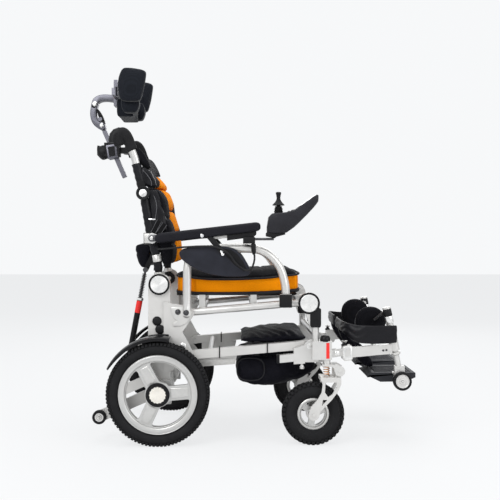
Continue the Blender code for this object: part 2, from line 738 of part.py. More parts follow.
def rear_wheel(name, side):
    body_name = "rear_wheel_" + name
    y = side * WHEEL_Y
    solid(
        "rear_tyre_" + name, body_name, "tyre_rubber",
        [turned(REAR_AXLE, y, tyre_profile(TYRE_RADIUS, RIM_RADIUS + 2 * GAP, TYRE_WIDTH), WHEEL_STEPS)],
    )
    half = RIM_WIDTH / 2
    ring = [
        (RIM_OPENING, half * 0.9), (RIM_RADIUS - 0.003, half), (RIM_RADIUS, half * 0.8),
        (RIM_RADIUS, -half * 0.8), (RIM_RADIUS - 0.003, -half), (RIM_OPENING, -half * 0.9),
    ]
    pieces = [turned(REAR_AXLE, y, ring, WHEEL_STEPS)]
    pieces.append(pin(REAR_AXLE, span(side, WHEEL_Y - 0.024, WHEEL_Y + 0.024), HUB_RADIUS))
    pieces.append(pin(REAR_AXLE, span(side, WHEEL_Y + 0.020, WHEEL_Y + 0.0275), HUB_CAP_RADIUS))
    for angle in SPOKE_ANGLES:
        spoke = box((0.015, RIM_OPENING + 0.006), span(side, WHEEL_Y - 0.010, WHEEL_Y + 0.016),
                    (-SPOKE_WIDTH / 2, SPOKE_WIDTH / 2))
        spoke.data.transform(Matrix.Rotation(math.radians(-angle), 4, "Y"))
        spoke.data.transform(Matrix.Translation(at(REAR_AXLE)))
        pieces.append(spoke)
    axle_hole = bore(REAR_AXLE, span(side, WHEEL_Y - 0.030, WHEEL_Y + 0.017), AXLE_RADIUS)
    solid("rear_rim_" + name, body_name, "silver_metal", pieces, [axle_hole])


def tip_wheel(name, side):
    half = TIP_WHEEL_WIDTH / 2
    inner, shoulder = 0.0045, 0.018
    profile = [
        (inner, half), (shoulder, half), (TIP_WHEEL_RADIUS, half * 0.5), (TIP_WHEEL_RADIUS, -half * 0.5),
        (shoulder, -half), (inner, -half),
    ]
    wheel = turned(TIP_WHEEL, side * (TIP_ARM_OUT + RUN + half), profile, SMALL_STEPS)
    solid("anti_tip_wheel_" + name, "tip_wheel_" + name, "tyre_rubber", [wheel])


def lower_frame():
    pieces = []
    cuts = []
    for side in SIDES.values():
        pieces.append(plate(bar_outline(RAIL_REAR, RAIL_FRONT, RAIL_HEIGHT), span(side, RAIL_IN, RAIL_OUT)))
        pieces.append(plate(TRAY_OUTLINE, span(side, RAIL_IN + 0.001, RAIL_IN + 0.010)))
        for place in (RAIL_REAR, RAIL_FRONT):
            cuts.append(bore(place, span(side, RAIL_IN - 0.01, RAIL_OUT + 0.01), PIVOT_PIN_RADIUS))
    for x, z in CROSS_RODS:
        pieces.append(rod((x, -RAIL_IN - 0.004, z), (x, RAIL_IN + 0.004, z), SEAT_CROSS_RADIUS))
    solid("lower_frame", "rails", "cream_paint", pieces, cuts)


def skinned(rows):
    """A closed solid through rows of the same number of points, with flat ends."""
    work = bmesh.new()
    made = [[work.verts.new(point) for point in row] for row in rows]
    count = len(rows[0])
    for first, second in zip(made, made[1:]):
        for i in range(count):
            j = (i + 1) % count
            work.faces.new((first[i], first[j], second[j], second[i]))
    work.faces.new(made[0])
    work.faces.new(made[-1][::-1])
    return from_bmesh(work)


def from_bmesh(work):
    mesh = bpy.data.meshes.new("skin")
    work.to_mesh(mesh)
    work.free()
    obj = bpy.data.objects.new("skin", mesh)
    GUIDES.objects.link(obj)
    return apply_place(obj)


def soft_slab(points, half_width, crown):
    """A soft bag: the side outline drawn in towards both ends of its width."""
    middle = sum(map(Vector, points), Vector((0, 0))) / len(points)
    rows = []
    for share in (-1, -0.6, -0.2, 0.2, 0.6, 1):
        scale = 1 - crown * abs(share) ** 3
        drawn = [middle + (Vector(point) - middle) * scale for point in points]
        rows.append([(place.x, share * half_width, place.y) for place in drawn])
    return skinned(rows)


def bags():
    """The bag that lies over the rails and the bag that hangs under them, each on four straps."""
    upper = [soft_slab(SEAT_BAG_OUTLINE, BAG_HALF_WIDTH, 0.10)]
    lower = [soft_slab(UNDER_BAG_OUTLINE, BAG_HALF_WIDTH, 0.08)]
    lean = (RAIL_FRONT[1] - RAIL_REAR[1]) / (RAIL_FRONT[0] - RAIL_REAR[0])
    for start in STRAP_STARTS:
        run = (start, start + STRAP_WIDTH)
        clear = RAIL_HEIGHT / 2 + GAP + 0.0004
        top = RAIL_REAR[1] + (run[1] - RAIL_REAR[0]) * lean + clear
        bottom = RAIL_REAR[1] + (run[0] - RAIL_REAR[0]) * lean - clear
        for side in SIDES.values():
            reach = span(side, BAG_HALF_WIDTH - 0.018, RAIL_OUT - 0.006)
            upper.append(box(run, reach, (top, top + 0.012)))
            lower.append(box(run, reach, (bottom - 0.026, bottom)))
    solid("seat_bag", "rails", "black_fabric", upper)
    solid("under_bag", "rails", "black_fabric", lower)


def front_frame():
    pieces = [rod(at(FRONT_CROSS, -BLOCK_OUT), at(FRONT_CROSS, BLOCK_OUT), SEAT_CROSS_RADIUS)]
    cuts = []
    for side in SIDES.values():
        pieces += front_side(side)
        low = (SWIVEL_X, side * CASTER_Y, HOUSING_BOTTOM - 0.01)
        cuts.append(hole(low, (SWIVEL_X, side * CASTER_Y, HOUSING_TOP - 0.006), SWIVEL_STEM_RADIUS))
    solid("front_frame", "front", "silver_metal", pieces, cuts)


def front_side(side):
    """One side of the front frame: block, caster housing, receiver, post and pivot pins."""
    y = side * CASTER_Y
    post_y = side * 0.2515
    screw_x, screw_y = 0.170, side * LEG_Y
    block = [*BLOCK_FOOT, *arc(RAIL_FRONT, 0.017, 80, 170, 5), (0.144, 0.294)]
    receiver = bar_outline(*RECEIVER_LINE, RECEIVER_HEIGHT, False, False)
    ear = bar_outline((SWIVEL_X, 0.277), LEG_PIVOT, 0.024, False, True)
    neck = [*SOCKET_FOOT, *arc(SEAT_FRONT, 0.020, 10, 190, 7)]
    web_y = span(side, BLOCK_IN + 0.002, CASTER_Y + 0.013)
    return [
        plate(block, span(side, BLOCK_IN, BLOCK_OUT)),
        rod((SWIVEL_X, y, HOUSING_BOTTOM), (SWIVEL_X, y, HOUSING_TOP), HOUSING_RADIUS, 10),
        box((0.200, 0.2605), web_y, (HOUSING_BOTTOM + 0.001, HOUSING_TOP - 0.001)),
        rod((0.240, y, HOUSING_TOP - 0.002), (0.240, y, HOUSING_TOP + 0.012), HOUSING_RADIUS, 10, 0.007),
        plate(receiver, span(side, BLOCK_IN + 0.0015, BLOCK_OUT - 0.0015)),
        plate(ear, span(side, BLOCK_IN - 0.0005, BLOCK_IN + 0.0025)),
        plate(ear, span(side, BLOCK_OUT - 0.0025, BLOCK_OUT + 0.0005)),
        pin(LEG_PIVOT, span(side, BLOCK_IN - 0.002, BLOCK_OUT + 0.002), LEG_PIN_RADIUS),
        rod((POST_X, post_y, HOUSING_TOP - 0.004), (POST_X, post_y, 0.370), POST_RADIUS),
        plate(neck, span(side, SOCKET_IN, 0.2655)),
        pin(SEAT_FRONT, span(side, PIN_IN, SOCKET_IN + 0.0035), SEAT_PIN_RADIUS),
        pin(SEAT_FRONT, span(side, SOCKET_IN + 0.002, 0.2490), DISC_RADIUS),
        pin(RAIL_FRONT, span(side, RAIL_PIN_IN, BLOCK_OUT + PIN_END), PIVOT_PIN_RADIUS),
        rod((screw_x, screw_y, SCREW_LOW + 0.002), (screw_x, screw_y, SCREW_HIGH), SCREW_RADIUS),
        rod((screw_x, screw_y, SCREW_LOW), (screw_x, screw_y, SCREW_HEAD_TOP), SCREW_HEAD_RADIUS),
    ]


def caster_head(name, side):
    y = side * CASTER_Y
    stem_top = HOUSING_TOP - 0.010
    cheek = [
        (0.256, HEAD_TOP), (0.256, HEAD_TOP - HEAD_PLATE), (0.264, 0.240),
        *arc(SUSPENSION_PIVOT, 0.0165, 190, 440, 8), (0.272, HEAD_TOP),
    ]
    solid(
        "caster_head_" + name, "caster_head_" + name, "silver_metal",
        [
            box((0.228, 0.280), (y - CHEEK_OUT, y + CHEEK_OUT), (HEAD_TOP - HEAD_PLATE, HEAD_TOP)),
            plate(cheek, (y - CHEEK_OUT, y - CHEEK_IN)),
            plate(cheek, (y + CHEEK_IN, y + CHEEK_OUT)),
            rod((SWIVEL_X, y, HEAD_TOP - 0.002), (SWIVEL_X, y, HOUSING_BOTTOM - GAP), 0.012, 10),
            rod((SWIVEL_X, y, HEAD_TOP - 0.002), (SWIVEL_X, y, stem_top), SWIVEL_STEM_RADIUS, 10),
            pin(SUSPENSION_PIVOT, (y - CHEEK_OUT - 0.002, y + CHEEK_OUT + 0.002), PIVOT_PIN_RADIUS),
        ],
    )


def caster_fork(name, side):
    y = side * CASTER_Y
    px, _ = SUSPENSION_PIVOT
    leg = [*FORK_FRONT_EDGE, *arc(CASTER_AXLE, 0.017, -20, -200, 6), *FORK_REAR_EDGE]
    ear_foot = CROWN_TOP - 0.002
    crown = FORK_OUT - 0.0005
    ear = [(px - 0.014, ear_foot), (px + 0.003, ear_foot), *arc(SUSPENSION_PIVOT, 0.0130, -10, 190, 6)]
    pieces = [
        box((0.223, 0.286), (y - crown, y + crown), (CROWN_BOTTOM, CROWN_TOP)),
        pin(CASTER_AXLE, (y - FORK_OUT - PIN_END, y + FORK_OUT + PIN_END), CASTER_AXLE_RADIUS),
        rod((0.2655, y, CROWN_TOP - 0.001), (0.2655, y, 0.239), 0.0045),
    ]
    cuts = [bore(SUSPENSION_PIVOT, (y - 0.028, y + 0.028), PIVOT_PIN_RADIUS)]
    for sign in (-1, 1):
        low, high = sorted((y + sign * FORK_IN, y + sign * FORK_OUT))
        pieces.append(plate(leg, (low, high)))
        cuts.append(plate(FORK_UPPER_HOLE, (low - 0.001, high + 0.001)))
        cuts.append(plate(FORK_LOWER_HOLE, (low - 0.001, high + 0.001)))
        ear_outer = CHEEK_IN - RUN
        pieces.append(plate(ear, tuple(sorted((y + sign * ear_outer, y + sign * (ear_outer - 0.006))))))
    solid("caster_fork_" + name, "caster_fork_" + name, "cream_paint", pieces, cuts)


def caster_wheel(name, side):
    y = side * CASTER_Y
    half = CASTER_WIDTH / 2
    rim = 0.0405
    profile = tyre_profile(CASTER_RADIUS, CASTER_RIM_RADIUS, CASTER_WIDTH)
    profile += [(rim, -half * 0.35), (rim, half * 0.35)]
    pieces = [turned(CASTER_AXLE, y, profile, CASTER_STEPS)]
    pieces.append(pin(CASTER_AXLE, (y - half, y + half), 0.016))
    for angle in (20, 140, 260):
        spoke = box((0.006, rim + 0.0035), (y - 0.009, y + 0.009), (-0.0105, 0.0105))
        spoke.data.transform(Matrix.Rotation(math.radians(-angle), 4, "Y"))
        spoke.data.transform(Matrix.Translation(at(CASTER_AXLE)))
        pieces.append(spoke)
    axle_hole = bore(CASTER_AXLE, (y - 0.03, y + 0.03), CASTER_AXLE_RADIUS)
    solid("caster_wheel_" + name, "caster_wheel_" + name, "tyre_rubber", pieces, [axle_hole])


def spring_points(centre, bottom, top):
    """A coil whose two ends run level and straight for one wire thickness."""
    total = SPRING_CURLS * SPRING_POINTS
    low, high = bottom + SPRING_WIRE, top - SPRING_WIRE
    tail = 2 * SPRING_WIRE
    x, y = centre
    points = [(x + SPRING_RADIUS, y - tail, low)]
    for i in range(total + 1):
        share = i / total
        angle = math.tau * SPRING_CURLS * share
        offset = (SPRING_RADIUS * math.cos(angle), SPRING_RADIUS * math.sin(angle))
        points.append((x + offset[0], y + offset[1], low + (high - low) * share))
    points.append((x + SPRING_RADIUS, y + tail, high))
    return points


def caster_spring(name, side):
    bottom = CROWN_TOP + GAP
    top = HEAD_TOP - HEAD_PLATE - GAP
    points = spring_points((SWIVEL_X, side * CASTER_Y), bottom, top)
    pitch = (top - bottom - 2 * SPRING_WIRE) / SPRING_CURLS
    print("caster spring: gap between curls, mm:", round((pitch - 2 * SPRING_WIRE) * 1000, 2))
    solid("caster_spring_" + name, "caster_head_" + name, "copper_spring", [pipe(points, SPRING_WIRE, 1)])


def legrest(name, side):
    y = side * LEG_Y
    half = LEG_BAR_WIDTH / 2
    tongue_y = span(side, LEG_Y - 0.0085, LEG_Y + 0.0085)
    lean = (LEG_BOTTOM[0] - LEG_TOP[0]) / (LEG_BOTTOM[1] - LEG_TOP[1])
    joint_low, joint_high, cap_low = 0.288, 0.341, 0.398
    hinge_y = side * FOOT_HINGE_Y
    bracket_y = span(side, CALF_OUT + GAP, LEG_Y)

    def on_leg(z):
        return (LEG_TOP[0] + (z - LEG_TOP[1]) * lean, y, z)

    pieces = [
        plate(bar_outline(*LEG_BAR_LINE, LEG_BAR_HEIGHT, False, False), (y - half, y + half)),
        plate(bar_outline(LEG_PIVOT, TONGUE_END, TONGUE_HEIGHT), tongue_y),
        plate(LEG_CLAMP_OUTLINE, (y - half - 0.003, y + half + 0.003)),
        rod((KNOB_X, y, 0.300), (KNOB_X, y, 0.314), 0.003, 6),
        rod((KNOB_X, y, 0.311), (KNOB_X, y, 0.318), 0.005, 8, 0.010),
        rod(at(LEG_TOP, y), on_leg(joint_low), LEG_TUBE_RADIUS, 10),
        rod(on_leg(LEG_TOP[1] + 0.0005), on_leg(cap_low), LEG_TUBE_RADIUS + 0.0015, 10),
        rod(on_leg(joint_low), on_leg(joint_high), LEG_TUBE_RADIUS + 0.0035, 10),
        rod(on_leg(joint_low + 0.002), at(LEG_BOTTOM, y), LEG_FOOT_RADIUS, 10),
        box(FOOT_BLOCK_X, (y - FOOT_BLOCK_HALF, y + FOOT_BLOCK_HALF), FOOT_BLOCK_Z),
        pin(LEG_WHEEL, span(side, LEG_Y, LEG_WHEEL_Y + LEG_WHEEL_WIDTH / 2 + 0.002), 0.004),
        rod((0.434, bracket_y[0], 0.405), (0.434, bracket_y[1], 0.405), 0.006),
        rod((0.456, hinge_y, FOOT_TOP), (0.496, hinge_y, FOOT_TOP), FOOT_PIN_RADIUS),
        box((0.462, 0.490), span(side, FOOT_HINGE_Y, LEG_Y - 0.004), (FOOT_TOP - 0.0025, FOOT_TOP + 0.003)),
    ]
    room_x, room_z = (0.255, 0.2935), (0.26, 0.30)
    cuts = [
        bore(LEG_PIVOT, span(side, 0.21, 0.25), LEG_PIN_RADIUS),
        box(room_x, span(side, BLOCK_IN - 0.001, BLOCK_IN + 0.003), room_z),
        box(room_x, span(side, BLOCK_OUT - 0.003, BLOCK_OUT + 0.001), room_z),
    ]
    solid("legrest_" + name, "legrest_" + name, "silver_metal", pieces, cuts)


def leg_wheel(name, side):
    half = LEG_WHEEL_WIDTH / 2
    inner, shoulder = 0.0045, 0.024
    profile = [
        (inner, half), (shoulder, half), (LEG_WHEEL_RADIUS, half * 0.6), (LEG_WHEEL_RADIUS, -half * 0.6),
        (shoulder, -half), (inner, -half),
    ]
    wheel = turned(LEG_WHEEL, side * (LEG_WHEEL_Y + RUN), profile, SMALL_STEPS)
    solid("legrest_wheel_" + name, "leg_wheel_" + name, "tyre_rubber", [wheel])


def footplate(name, side):
    outline = [
        (FOOT_REAR, FOOT_OUT), (FOOT_FRONT - 0.035, FOOT_OUT), (FOOT_FRONT, FOOT_OUT - 0.045),
        (FOOT_FRONT, 0.085), (FOOT_FRONT - 0.028, FOOT_IN), (FOOT_REAR + 0.020, FOOT_IN), (FOOT_REAR, 0.075),
    ]
    middle = Vector(((FOOT_REAR + FOOT_FRONT) / 2, (FOOT_OUT + FOOT_IN) / 2))
    levels = ((FOOT_TOP, 0.004), (FOOT_TOP - 0.006, 0.0), (FOOT_TOP - FOOT_THICKNESS, 0.012))
    rows = []
    for z, inset in levels:
        row = []
        for point in map(Vector, outline):
            place = point + (middle - point).normalized() * inset
            row.append((place.x, side * place.y, z))
        rows.append(row)
    y = side * FOOT_HINGE_Y
    groove = hole((0.4555, y, FOOT_TOP), (0.4965, y, FOOT_TOP), FOOT_PIN_RADIUS)
    solid("footplate_" + name, "footplate_" + name, "dark_plastic", [skinned(rows)], [groove])


def thick_line(points, thickness):
    """The outline of a strip of even thickness along plan or side points."""
    left, right = [], []
    for i, point in enumerate(points):
        before = Vector(points[max(i - 1, 0)])
        after = Vector(points[min(i + 1, len(points) - 1)])
        along = (after - before).normalized()
        across = Vector((-along.y, along.x)) * thickness / 2
        left.append(tuple(Vector(point) + across))
        right.append(tuple(Vector(point) - across))
    return left + right[::-1]


def calf_pad(name, side):
    strip = [(x, side * py) for x, py in thick_line(CALF_STRAP_LINE, STRAP_THICKNESS)]
    dome = [
        (0, 0.037), (0.034, 0.035), (CALF_RADIUS - 0.004, 0.026), (CALF_RADIUS, 0.012),
        (CALF_RADIUS - 0.008, 0.003), (0, 0),
    ]
    pieces = [
        flat(strip, (0.312, 0.372)),
        plate(thick_line(HEEL_STRAP_LINE, STRAP_THICKNESS), span(side, 0.070, 0.130)),
        turned(CALF_CENTRE, side * CALF_IN, [(r, side * along) for r, along in dome], DOME_STEPS),
        box((0.300, 0.360), span(side, CALF_IN + 0.010, CALF_IN + 0.020), (0.345, 0.360)),
    ]
    solid("calf_pad_" + name, "legrest_" + name, "black_fabric", pieces)


def seat_frame():
    pieces = []
    cuts = []
    for side in SIDES.values():
        y = side * SEAT_TUBE_Y
        pieces.append(rod(at(SEAT_REAR, y), at(SEAT_FRONT, y), SEAT_TUBE_RADIUS))
        pieces.append(pin(SEAT_REAR, span(side, 0.198, COLUMN_OUT - 0.004 - RUN), 0.016))
        pieces.append(pin(SEAT_FRONT, span(side, 0.198, SOCKET_IN - RUN), 0.024))
        pieces += arch_socket(side)
        low, high = (SOCKET_X, side * ARCH_Y, 0.432), (SOCKET_X, side * ARCH_Y, 0.480)
        cuts.append(rod(low, high, ARCH_RADIUS + 0.0012))
        cuts.append(bore(SEAT_REAR, span(side, 0.19, 0.23), PIVOT_PIN_RADIUS))
        cuts.append(bore(SEAT_FRONT, span(side, 0.19, 0.245), SEAT_PIN_RADIUS))
        for share in SEAT_SHARES:
            x, z = on_seat_tube(share)
            lug_z = (z - 0.004, CUSHION_BOTTOM - GAP)
            pieces.append(box((x - 0.010, x + 0.010), span(side, 0.188, 0.200), lug_z))
    for share in SEAT_SHARES:
        x, z = on_seat_tube(share)
        pieces.append(rod((x, -SEAT_TUBE_Y, z), (x, SEAT_TUBE_Y, z), SEAT_CROSS_RADIUS))
    solid("seat_frame", "seat", "silver_metal", pieces, cuts)


def on_seat_tube(share):
    return Vector(SEAT_REAR).lerp(Vector(SEAT_FRONT), share)


def arch_socket(side):
    """The socket beside the seat tube that takes the arch's front leg, and its bridge."""
    inner, outer = ARCH_Y - ARCH_RADIUS - 0.004, ARCH_Y + ARCH_RADIUS + 0.004
    return [
        box((SOCKET_X - 0.016, SOCKET_X + 0.016), span(side, SEAT_TUBE_Y, inner + 0.003), (0.424, 0.446)),
        box((SOCKET_X - 0.0175, SOCKET_X + 0.0175), span(side, inner, outer), (0.424, 0.466)),
    ]


def cushion(cuts, place):
    """A soft block: place turns shares along, across and through it into a point."""
    work = bmesh.new()
    bmesh.ops.create_cube(work, size=2)
    bmesh.ops.subdivide_edges(work, edges=work.edges, cuts=cuts, use_grid_fill=True)
    for vert in work.verts:
        vert.co = place(*vert.co)
    return from_bmesh(work)


def rounded(share, power=4):
    return 1 - abs(share) ** power


def seat_cushion_point(along, across, through):
    """Crowned top, drawn-in sides and two shallow channels across the seat."""
    half_length = (CUSHION_FRONT - CUSHION_REAR) / 2
    middle = (CUSHION_FRONT + CUSHION_REAR) / 2
    waist = 1 - 0.020 * rounded(through, 2)
    channel = sum(math.exp(-(((along - place) / 0.09) ** 2)) for place in (-0.33, 0.33))
    crown = 0.014 * rounded(along) * rounded(across) - 0.006 * channel * rounded(across)
    x = middle + along * half_length * waist
    y = across * CUSHION_HALF_WIDTH * waist
    sag = 0.010 * abs(along) ** 2 * (1 if along > 0 else 0.4)
    z = CUSHION_BOTTOM + CUSHION_THICKNESS * (through + 1) / 2
    if through > 0:
        z += (crown + sag) * through
    return Vector((x, y, z))


def seat_cushion():
    """The cushion, with its rear corners left free for the back's hinges, which it swings past."""
    cuts = [
        box((CUSHION_REAR - 0.01, NOTCH_FRONT), span(side, NOTCH_IN, 0.25), (CUSHION_BOTTOM - 0.01, 0.60))
        for side in SIDES.values()
    ]
    solid("seat_cushion", "seat", "orange_fabric", [cushion(6, seat_cushion_point)], cuts)


def line_x(line, z):
    """Where a rising side-plane line is at a height."""
    for (x0, z0), (x1, z1) in zip(line, line[1:]):
        if z <= z1:
            return x0 + (x1 - x0) * (z - z0) / (z1 - z0)
    return line[-1][0]


def cane_x(z):
    return line_x(CANE_LINE, z)


def back_cushion_place(bottom, top, channels):
    middle, half = (top + bottom) / 2, (top - bottom) / 2

    def place(along, across, through):
        """Side wings proud of a hollow middle, drawn-in ends and channels across."""
        z = middle + along * half
        rear = cane_x(z) + CANE_RADIUS + 0.004
        front = max(line_x(FACE_LINE, z), rear + 0.012)
        hollow = 0.020 * rounded(across, 6) * min(1, (front - rear) / 0.05)
        channel = sum(math.exp(-(((along - spot) / 0.08) ** 2)) for spot in channels)
        front -= hollow + 0.005 * channel * rounded(across, 6)
        edge = 0.010 * (abs(along) ** 6 + abs(across) ** 8)
        front = max(front - min(edge, 0.010), rear + 0.004)
        x = rear + (front - rear) * (through + 1) / 2
        waist = 1 - 0.012 * rounded(through, 2)
        return Vector((x, across * BACK_HALF_WIDTH * waist, middle + along * half * waist))

    return place


def back_cushions():
    lower = back_cushion_place(BACK_CUSHION_BOTTOM, BACK_CUSHION_TOP, (-0.4, 0.25))
    upper = back_cushion_place(BACK_CUSHION_TOP + 0.002, UPPER_CUSHION_TOP, ())
    solid("back_cushion", "back", "black_fabric", [cushion(6, lower), *cane_straps(0.700)])
    solid("upper_back_cushion", "upper_back", "black_fabric", [cushion(5, upper), *cane_straps(0.870)])


def cane_straps(z):
    """The two strap ends that reach from the cushion's back to the canes."""
    rear = cane_x(z - 0.003) + CANE_RADIUS + 0.0007
    return [box((rear, rear + 0.012), span(side, 0.184, 0.196), (z - 0.003, z + 0.003)) for side in (-1, 1)]


def on_cane(z, y):
    return (cane_x(z), y, z)


def back_frame():
    pieces = []
    cuts = []
    for side in SIDES.values():
        line = [(x, side * CANE_Y, z) for x, z in CANE_LINE[:4]]
        pieces.append(pipe(smooth(line, 2), CANE_RADIUS))
        pieces.append(pin(RECLINE_PIVOT, span(side, BACK_HUB_IN, BACK_HUB_OUT), BACK_HUB_RADIUS))
        pieces.append(pin(BACK_FOLD_PIVOT, span(side, CANE_Y - 0.004, CANE_EYE_OUT), CANE_RADIUS))
        pieces.append(box(ARM_BOX_X, span(side, CANE_Y - 0.016, ARM_BOX_OUT), ARM_BOX_Z))
        pieces.append(pin(ARM_PIVOT, span(side, 0.200, COLLAR_OUT - COLLAR_WALL - RUN), COLLAR_PIN_RADIUS))
        cuts.append(bore(RECLINE_PIVOT, span(side, 0.17, 0.21), RECLINE_PIN_RADIUS))
    for z in (0.600, 0.760):
        pieces.append(rod(on_cane(z, -CANE_Y), on_cane(z, CANE_Y), BACK_CROSS_RADIUS))
    arm = bar_outline(STRUT_LUG_START, STRUT_HEAD, STRUT_LUG_HEIGHT)
    pieces.append(plate(arm, (STRUT_Y + 0.0100, STRUT_Y + 0.0150)))
    solid("back_frame", "back", "silver_metal", pieces, cuts)


def back_pouch():
    solid("back_pouch", "back", "black_fabric", [soft_slab(POUCH_OUTLINE, 0.128, 0.06)])


def upper_back_frame():
    pieces = []
    for side in SIDES.values():
        pieces += upper_back_side(side)
    pieces.append(rod(at(GRIP_CROSS, -CANE_Y), at(GRIP_CROSS, CANE_Y), BACK_CROSS_RADIUS))
    cx, cz = CLAMP_CENTRE
    pieces.append(box((-0.440, -0.378), (-0.010, 0.010), (cz - 0.012, cz + 0.008)))
    pieces.append(box((cx - 0.027, cx + 0.025), (-0.022, 0.022), (cz - 0.023, cz + 0.023)))
    pieces.append(rod((cx - 0.024, 0, cz), (cx - 0.052, 0, cz), 0.009, 10, 0.016))
    slot = stem_bar(0.30, 0.80, STEM_WIDTH / 2 + RUN, STEM_HALF_DEPTH + RUN)
    solid("upper_back_frame", "upper_back", "silver_metal", pieces, [slot])


def upper_back_side(side):
    """An upper cane with its push grip and its hinge cheek."""
    y = side * CANE_Y
    cheek_in = CANE_EYE_OUT + RUN
    cheek_out = CANE_Y + 0.021
    ear = bar_outline(BACK_FOLD_PIVOT, FOLD_EAR_TOP, FOLD_EAR_HEIGHT)
    return [
        pipe([(cane_x(z), y, z) for z in (0.801, 0.898, 0.944)], CANE_RADIUS),
        pipe(smooth([(x, y, z) for x, z in HOOK_LINE], 2), GRIP_RADIUS),
        plate(ear, span(side, cheek_in, cheek_out)),
        pin(BACK_FOLD_PIVOT, span(side, cheek_in, CANE_Y + 0.030), 0.022),
        box((-0.350, -0.330), span(side, CANE_Y, cheek_out), (0.803, 0.818)),
    ]


def stem_bar(start, end, half_height, half_width):
    """A flat bar along the headrest stem's line, between two shares of its length."""
    low, high = Vector(STEM_LOW), Vector(STEM_HIGH)
    a = low + (high - low) * start
    b = low + (high - low) * end
    outline = bar_outline(tuple(a), tuple(b), half_height * 2, False, False)
    return plate(outline, (-half_width, half_width))


def headrest():
    hole_y = (-0.02, 0.02)
    eye_y = (-STEM_HALF_DEPTH, STEM_HALF_DEPTH)
    shoulder = tuple(Vector(STEM_LOW).lerp(Vector(STEM_HIGH), 0.88))
    solid(
        "headrest_stem", "headrest_stem", "grey_anodised",
        [
            stem_bar(0.0, 0.90, STEM_WIDTH / 2, STEM_HALF_DEPTH),
            plate(bar_outline(shoulder, STEM_HIGH, 0.012), (-0.009, 0.009)),
            pin(STEM_HIGH, eye_y, 0.011, 12),
        ],
        [bore(STEM_HIGH, hole_y, HEAD_PIN_RADIUS)],
    )
    crescent = arc((-0.4870, 1.0625), 0.0385, 240, 120, 6)[1:-1]
    link = thick_line([STEM_HIGH, *crescent, LINK_PIVOT], LINK_BAR)
    pins = [pin(place, (-0.018, 0.018), HEAD_PIN_RADIUS) for place in (STEM_HIGH, LINK_PIVOT)]
    spacer = pin((-0.5255, 1.062), (-0.014, 0.014), HEAD_PIN_RADIUS)
    pins.append(pin(HEAD_LEVER, (-0.016, 0.016), LEVER_PIN_RADIUS))
    cheeks = [plate(link, span(side, 0.0115, 0.0165)) for side in (-1, 1)]
    ear = bar_outline((-0.5170, 1.040), HEAD_LEVER, 0.012, False)
    cheeks += [plate(ear, span(side, 0.0118, 0.0162)) for side in (-1, 1)]
    solid("headrest_lower_link", "headrest_link", "grey_anodised", [*cheeks, *pins, spacer])
    reach = WING_HINGE[1] + 0.003
    solid(
        "headrest_upper_link", "headrest_head", "grey_anodised",
        [
            plate(thick_line(HEAD_LINK_LINE, LINK_BAR), (-0.010, 0.010)),
            pin(LINK_PIVOT, (-0.010, 0.010), 0.011, 12),
            box((-0.451, -0.438), (-0.024, 0.024), (1.090, 1.178)),
            box((-0.446, -0.4355), (-reach, reach), (1.112, 1.136)),
            *[hinge_post(side) for side in SIDES.values()],
        ],
        [bore(LINK_PIVOT, hole_y, HEAD_PIN_RADIUS)],
    )
    lever_y = (-0.0112, 0.0112)
    solid(
        "headrest_cam_lever", "headrest_lever", "dark_plastic",
        [plate(thick_line(CAM_LEVER_LINE, 0.009), lever_y), pin(HEAD_LEVER, lever_y, 0.0075, 10)],
        [bore(HEAD_LEVER, hole_y, LEVER_PIN_RADIUS)],
    )
    solid("headrest_pad", "headrest_head", "black_fabric", [cushion(3, head_pad_point)])
    for name, side in SIDES.items():
        wing(name, side)


def hinge_post(side):
    x, y = WING_HINGE[0], side * WING_HINGE[1]
    return rod((x, y, 1.109), (x, y, 1.139), WING_POST_RADIUS)


def wing(name, side):
    """A side wing with the knuckle that turns on its post."""
    x, y = WING_HINGE
    knuckle = box((x - 0.002, -0.400), span(side, y, y + 0.014), (1.116, 1.132))
    post = hole((x, side * y, 1.100), (x, side * y, 1.150), WING_POST_RADIUS)
    pad = cushion(4, wing_point(side))
    solid("headrest_wing_" + name, "wing_" + name, "black_fabric", [pad, knuckle], [post])


def head_pad_point(along, across, through):
    """The pad behind the head: hollow in front, round at its edges."""
    depth = 0.058 - 0.022 * rounded(across, 2) - 0.010 * along**4
    x = -0.4375 + (through + 1) / 2 * depth
    y = across * 0.082 * (1 - 0.06 * along**2)
    z = 1.0780 + along * 0.032 * (1 - 0.10 * across**2)
    return Vector((x, y, z))


def wing_point(side):
    def place(along, across, through):
        """A side wing: along its height, across its depth, through its thickness."""
        height = 0.056 * (1 - 0.10 * across**2 - 0.05 * through**2)
        z = 1.1440 + along * height
        x = -0.3780 + across * 0.0480 * (1 - 0.12 * along**2 - 0.05 * through**2) + 0.004 * along
        y = WING_Y + through * WING_THICKNESS / 2 * (1 - 0.25 * along**4 - 0.25 * across**4)
        return Vector((x, side * (y - 0.006 * across), z))

    return place


def strut():
    foot, head = Vector(at(STRUT_FOOT, STRUT_Y)), Vector(at(STRUT_HEAD, STRUT_Y))
    solid(
        "strut_body", "strut", "dark_plastic",
        [
            rod(foot.lerp(head, 0.045), foot.lerp(head, STRUT_BODY_SHARE), STRUT_BODY_RADIUS, 10),
            pin(STRUT_FOOT, (STRUT_Y - 0.006, STRUT_Y + 0.006), 0.0150, 12),
        ],
        [
            bore(STRUT_FOOT, (STRUT_Y - 0.02, STRUT_Y + 0.02), STAY_RADIUS),
            rod(foot.lerp(head, STRUT_HOLE_SHARE), head, STRUT_ROD_RADIUS + RUN, 8),
        ],
    )
    solid(
        "strut_rod", "strut_rod", "silver_metal",
        [
            rod(foot.lerp(head, STRUT_ROD_SHARE), foot.lerp(head, 0.975), STRUT_ROD_RADIUS, 8),
            pin(STRUT_HEAD, (STRUT_Y - 0.007, STRUT_Y + 0.0097), 0.0085, 10),
        ],
    )


